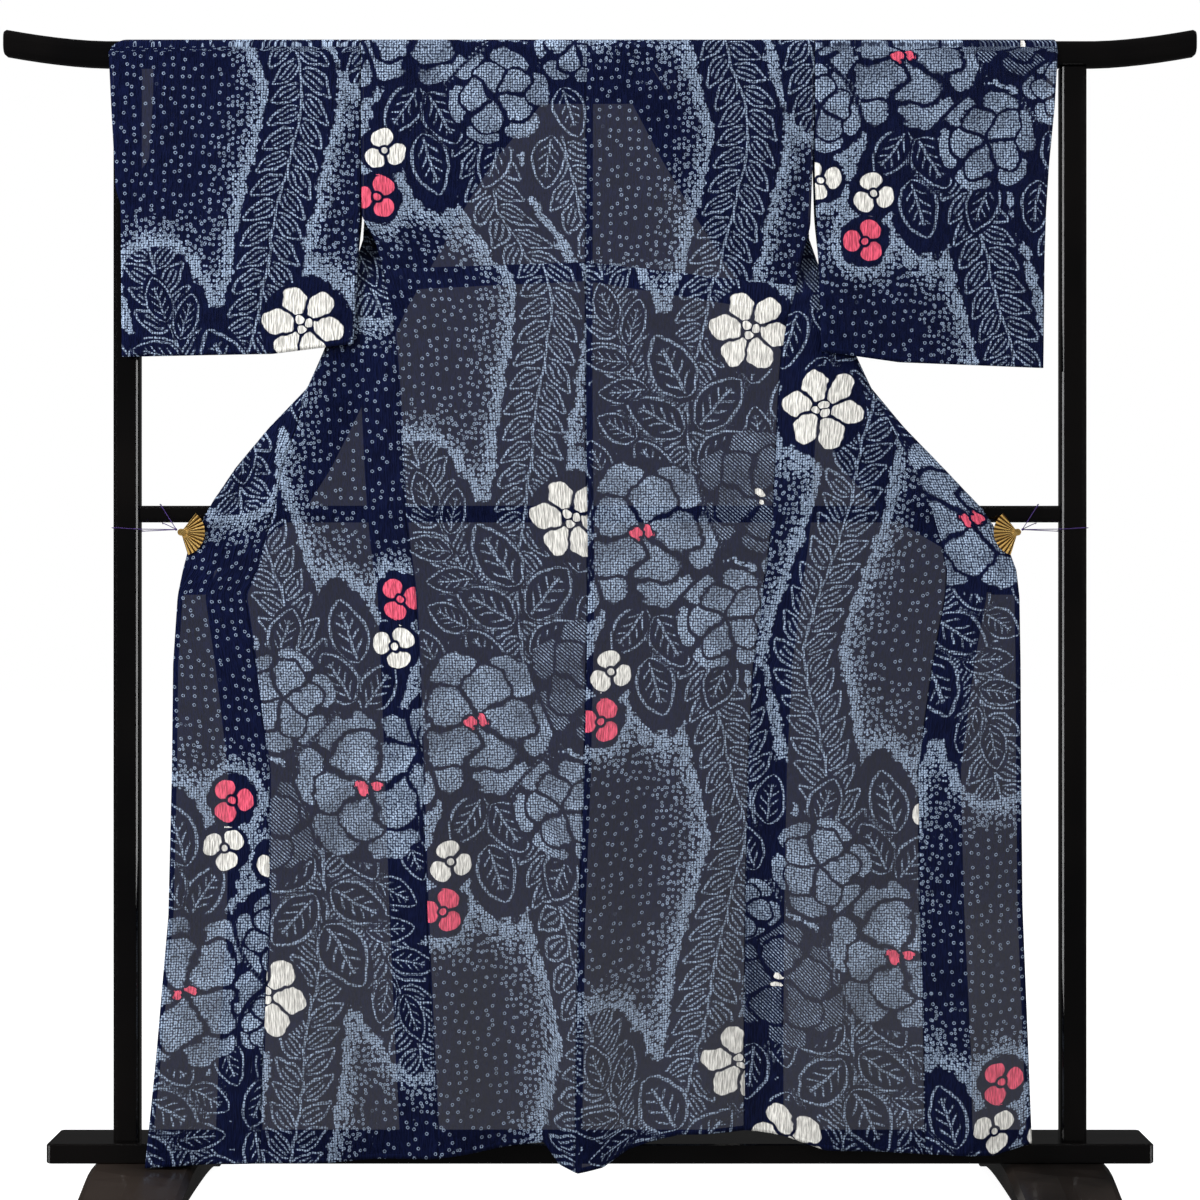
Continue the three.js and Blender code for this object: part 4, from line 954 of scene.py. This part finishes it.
# Camera, floor and soft lights
def makeRoom():
    scene = bpy.context.scene
    camera = bpy.data.objects.new("camera", bpy.data.cameras.new("camera"))
    scene.collection.objects.link(camera)
    camera.location = view["stand"]
    camera.rotation_euler = (math.pi / 2, 0, 0)
    camera.data.lens = view["lens"]
    camera.data.sensor_width = view["sensor"]
    scene.camera = camera
    scene.view_settings.view_transform = "Standard"
    world = bpy.data.worlds.new("room")
    world.use_nodes = True
    scene.world = world
    nodes, links = world.node_tree.nodes, world.node_tree.links
    base = nodes["Background"]
    base.inputs[0].default_value = (1, 1, 1, 1)
    rays = nodes.new("ShaderNodeLightPath")
    glossy, seen = nodes.new("ShaderNodeMapRange"), nodes.new("ShaderNodeMapRange")
    glossy.inputs[3].default_value = room["worldLight"]
    glossy.inputs[4].default_value = room["worldGloss"]
    seen.inputs[4].default_value = 1.0
    links.new(rays.outputs["Is Glossy Ray"], glossy.inputs[0])
    links.new(rays.outputs["Is Camera Ray"], seen.inputs[0])
    links.new(glossy.outputs[0], seen.inputs[3])
    links.new(seen.outputs[0], base.inputs[1])
    bm = bmesh.new()
    bmesh.ops.create_grid(bm, x_segments=1, y_segments=1, size=room["floorSize"] / 2)
    mesh = bpy.data.meshes.new("floor")
    bm.to_mesh(mesh)
    bm.free()
    floor = bpy.data.objects.new("floor", mesh)
    floor.location.z = -room["floorBelow"]
    scene.collection.objects.link(floor)
    board = Board("floorPaint")
    mesh.materials.append(board.finish(Base_Color=(0.3, 0.3, 0.3), Roughness=0.9,
                                       Emission_Color=(1, 1, 1), Emission_Strength=0.97))
    floor.visible_glossy = False
    floor.visible_diffuse = False

    def softbox(name, place, toward, size, power, mirrored=False):
        light = bpy.data.objects.new(name, bpy.data.lights.new(name, "AREA"))
        light.data.shape = "RECTANGLE"
        light.data.size, light.data.size_y = size
        light.data.energy = power
        light.location = place
        light.rotation_euler = (Vector(toward) - Vector(place)).to_track_quat("-Z", "Y").to_euler()
        light.visible_glossy = mirrored
        scene.collection.objects.link(light)

    softbox("key", (-2.8, -2.0, 2.2), (0, 0, 0.95), (1.2, 2.2), room["keyLight"])
    softbox("fill", (2.6, -2.2, 1.5), (0, 0, 0.9), (1.0, 2.2), room["fillLight"])
    softbox("top", (0, -0.4, 3.4), (0, 0, 1.0), (2.4, 1.2), room["topLight"])
    softbox("behind", (1.6, 2.9, 2.0), (0, 0, 0.9), (1.6, 2.2), room["behindLight"])
    softbox("left strip", (-2.3, -1.85, 1.1), (0.6, 0, 1.0), (0.16, 3.4), room["strip"], True)
    softbox("right strip", (2.3, -1.85, 1.1), (-0.6, 0, 1.0), (0.16, 3.4), room["strip"], True)
    softbox("over strip", (0, -1.1, 3.1), (0, 0, 0.9), (3.2, 0.12), room["strip"], True)


makeRoom()
print("room ready")
cotton = cottonMaterial()
lacquer = lacquerMaterial("blackLacquer", (0.0034, 0.0028, 0.0026), 0.10)
footLacquer = lacquerMaterial("footLacquer", (0.030, 0.022, 0.018), 0.50)
gilding = gildedMaterial()
thread = cordMaterial()
print("materials ready")

for half in (leftHalf, rightHalf):
    bodyPiece(half)
    okumiPiece(half)
for sleeve in (leftSleeve, rightSleeve):
    sleevePiece(sleeve)
collarPiece()

finishes = {
    lacquer: ["top_bar", "middle_rail", "base_plank", "post_left", "post_right"],
    footLacquer: ["foot_left", "foot_right"], gilding: ["clip_left", "clip_right"],
    thread: ["clip_cord_left", "clip_cord_right"],
}
for material, names in finishes.items():
    for name in names:
        node = bpy.data.objects[name]
        for slot in node.material_slots:
            slot.material = material
print("stand finished")
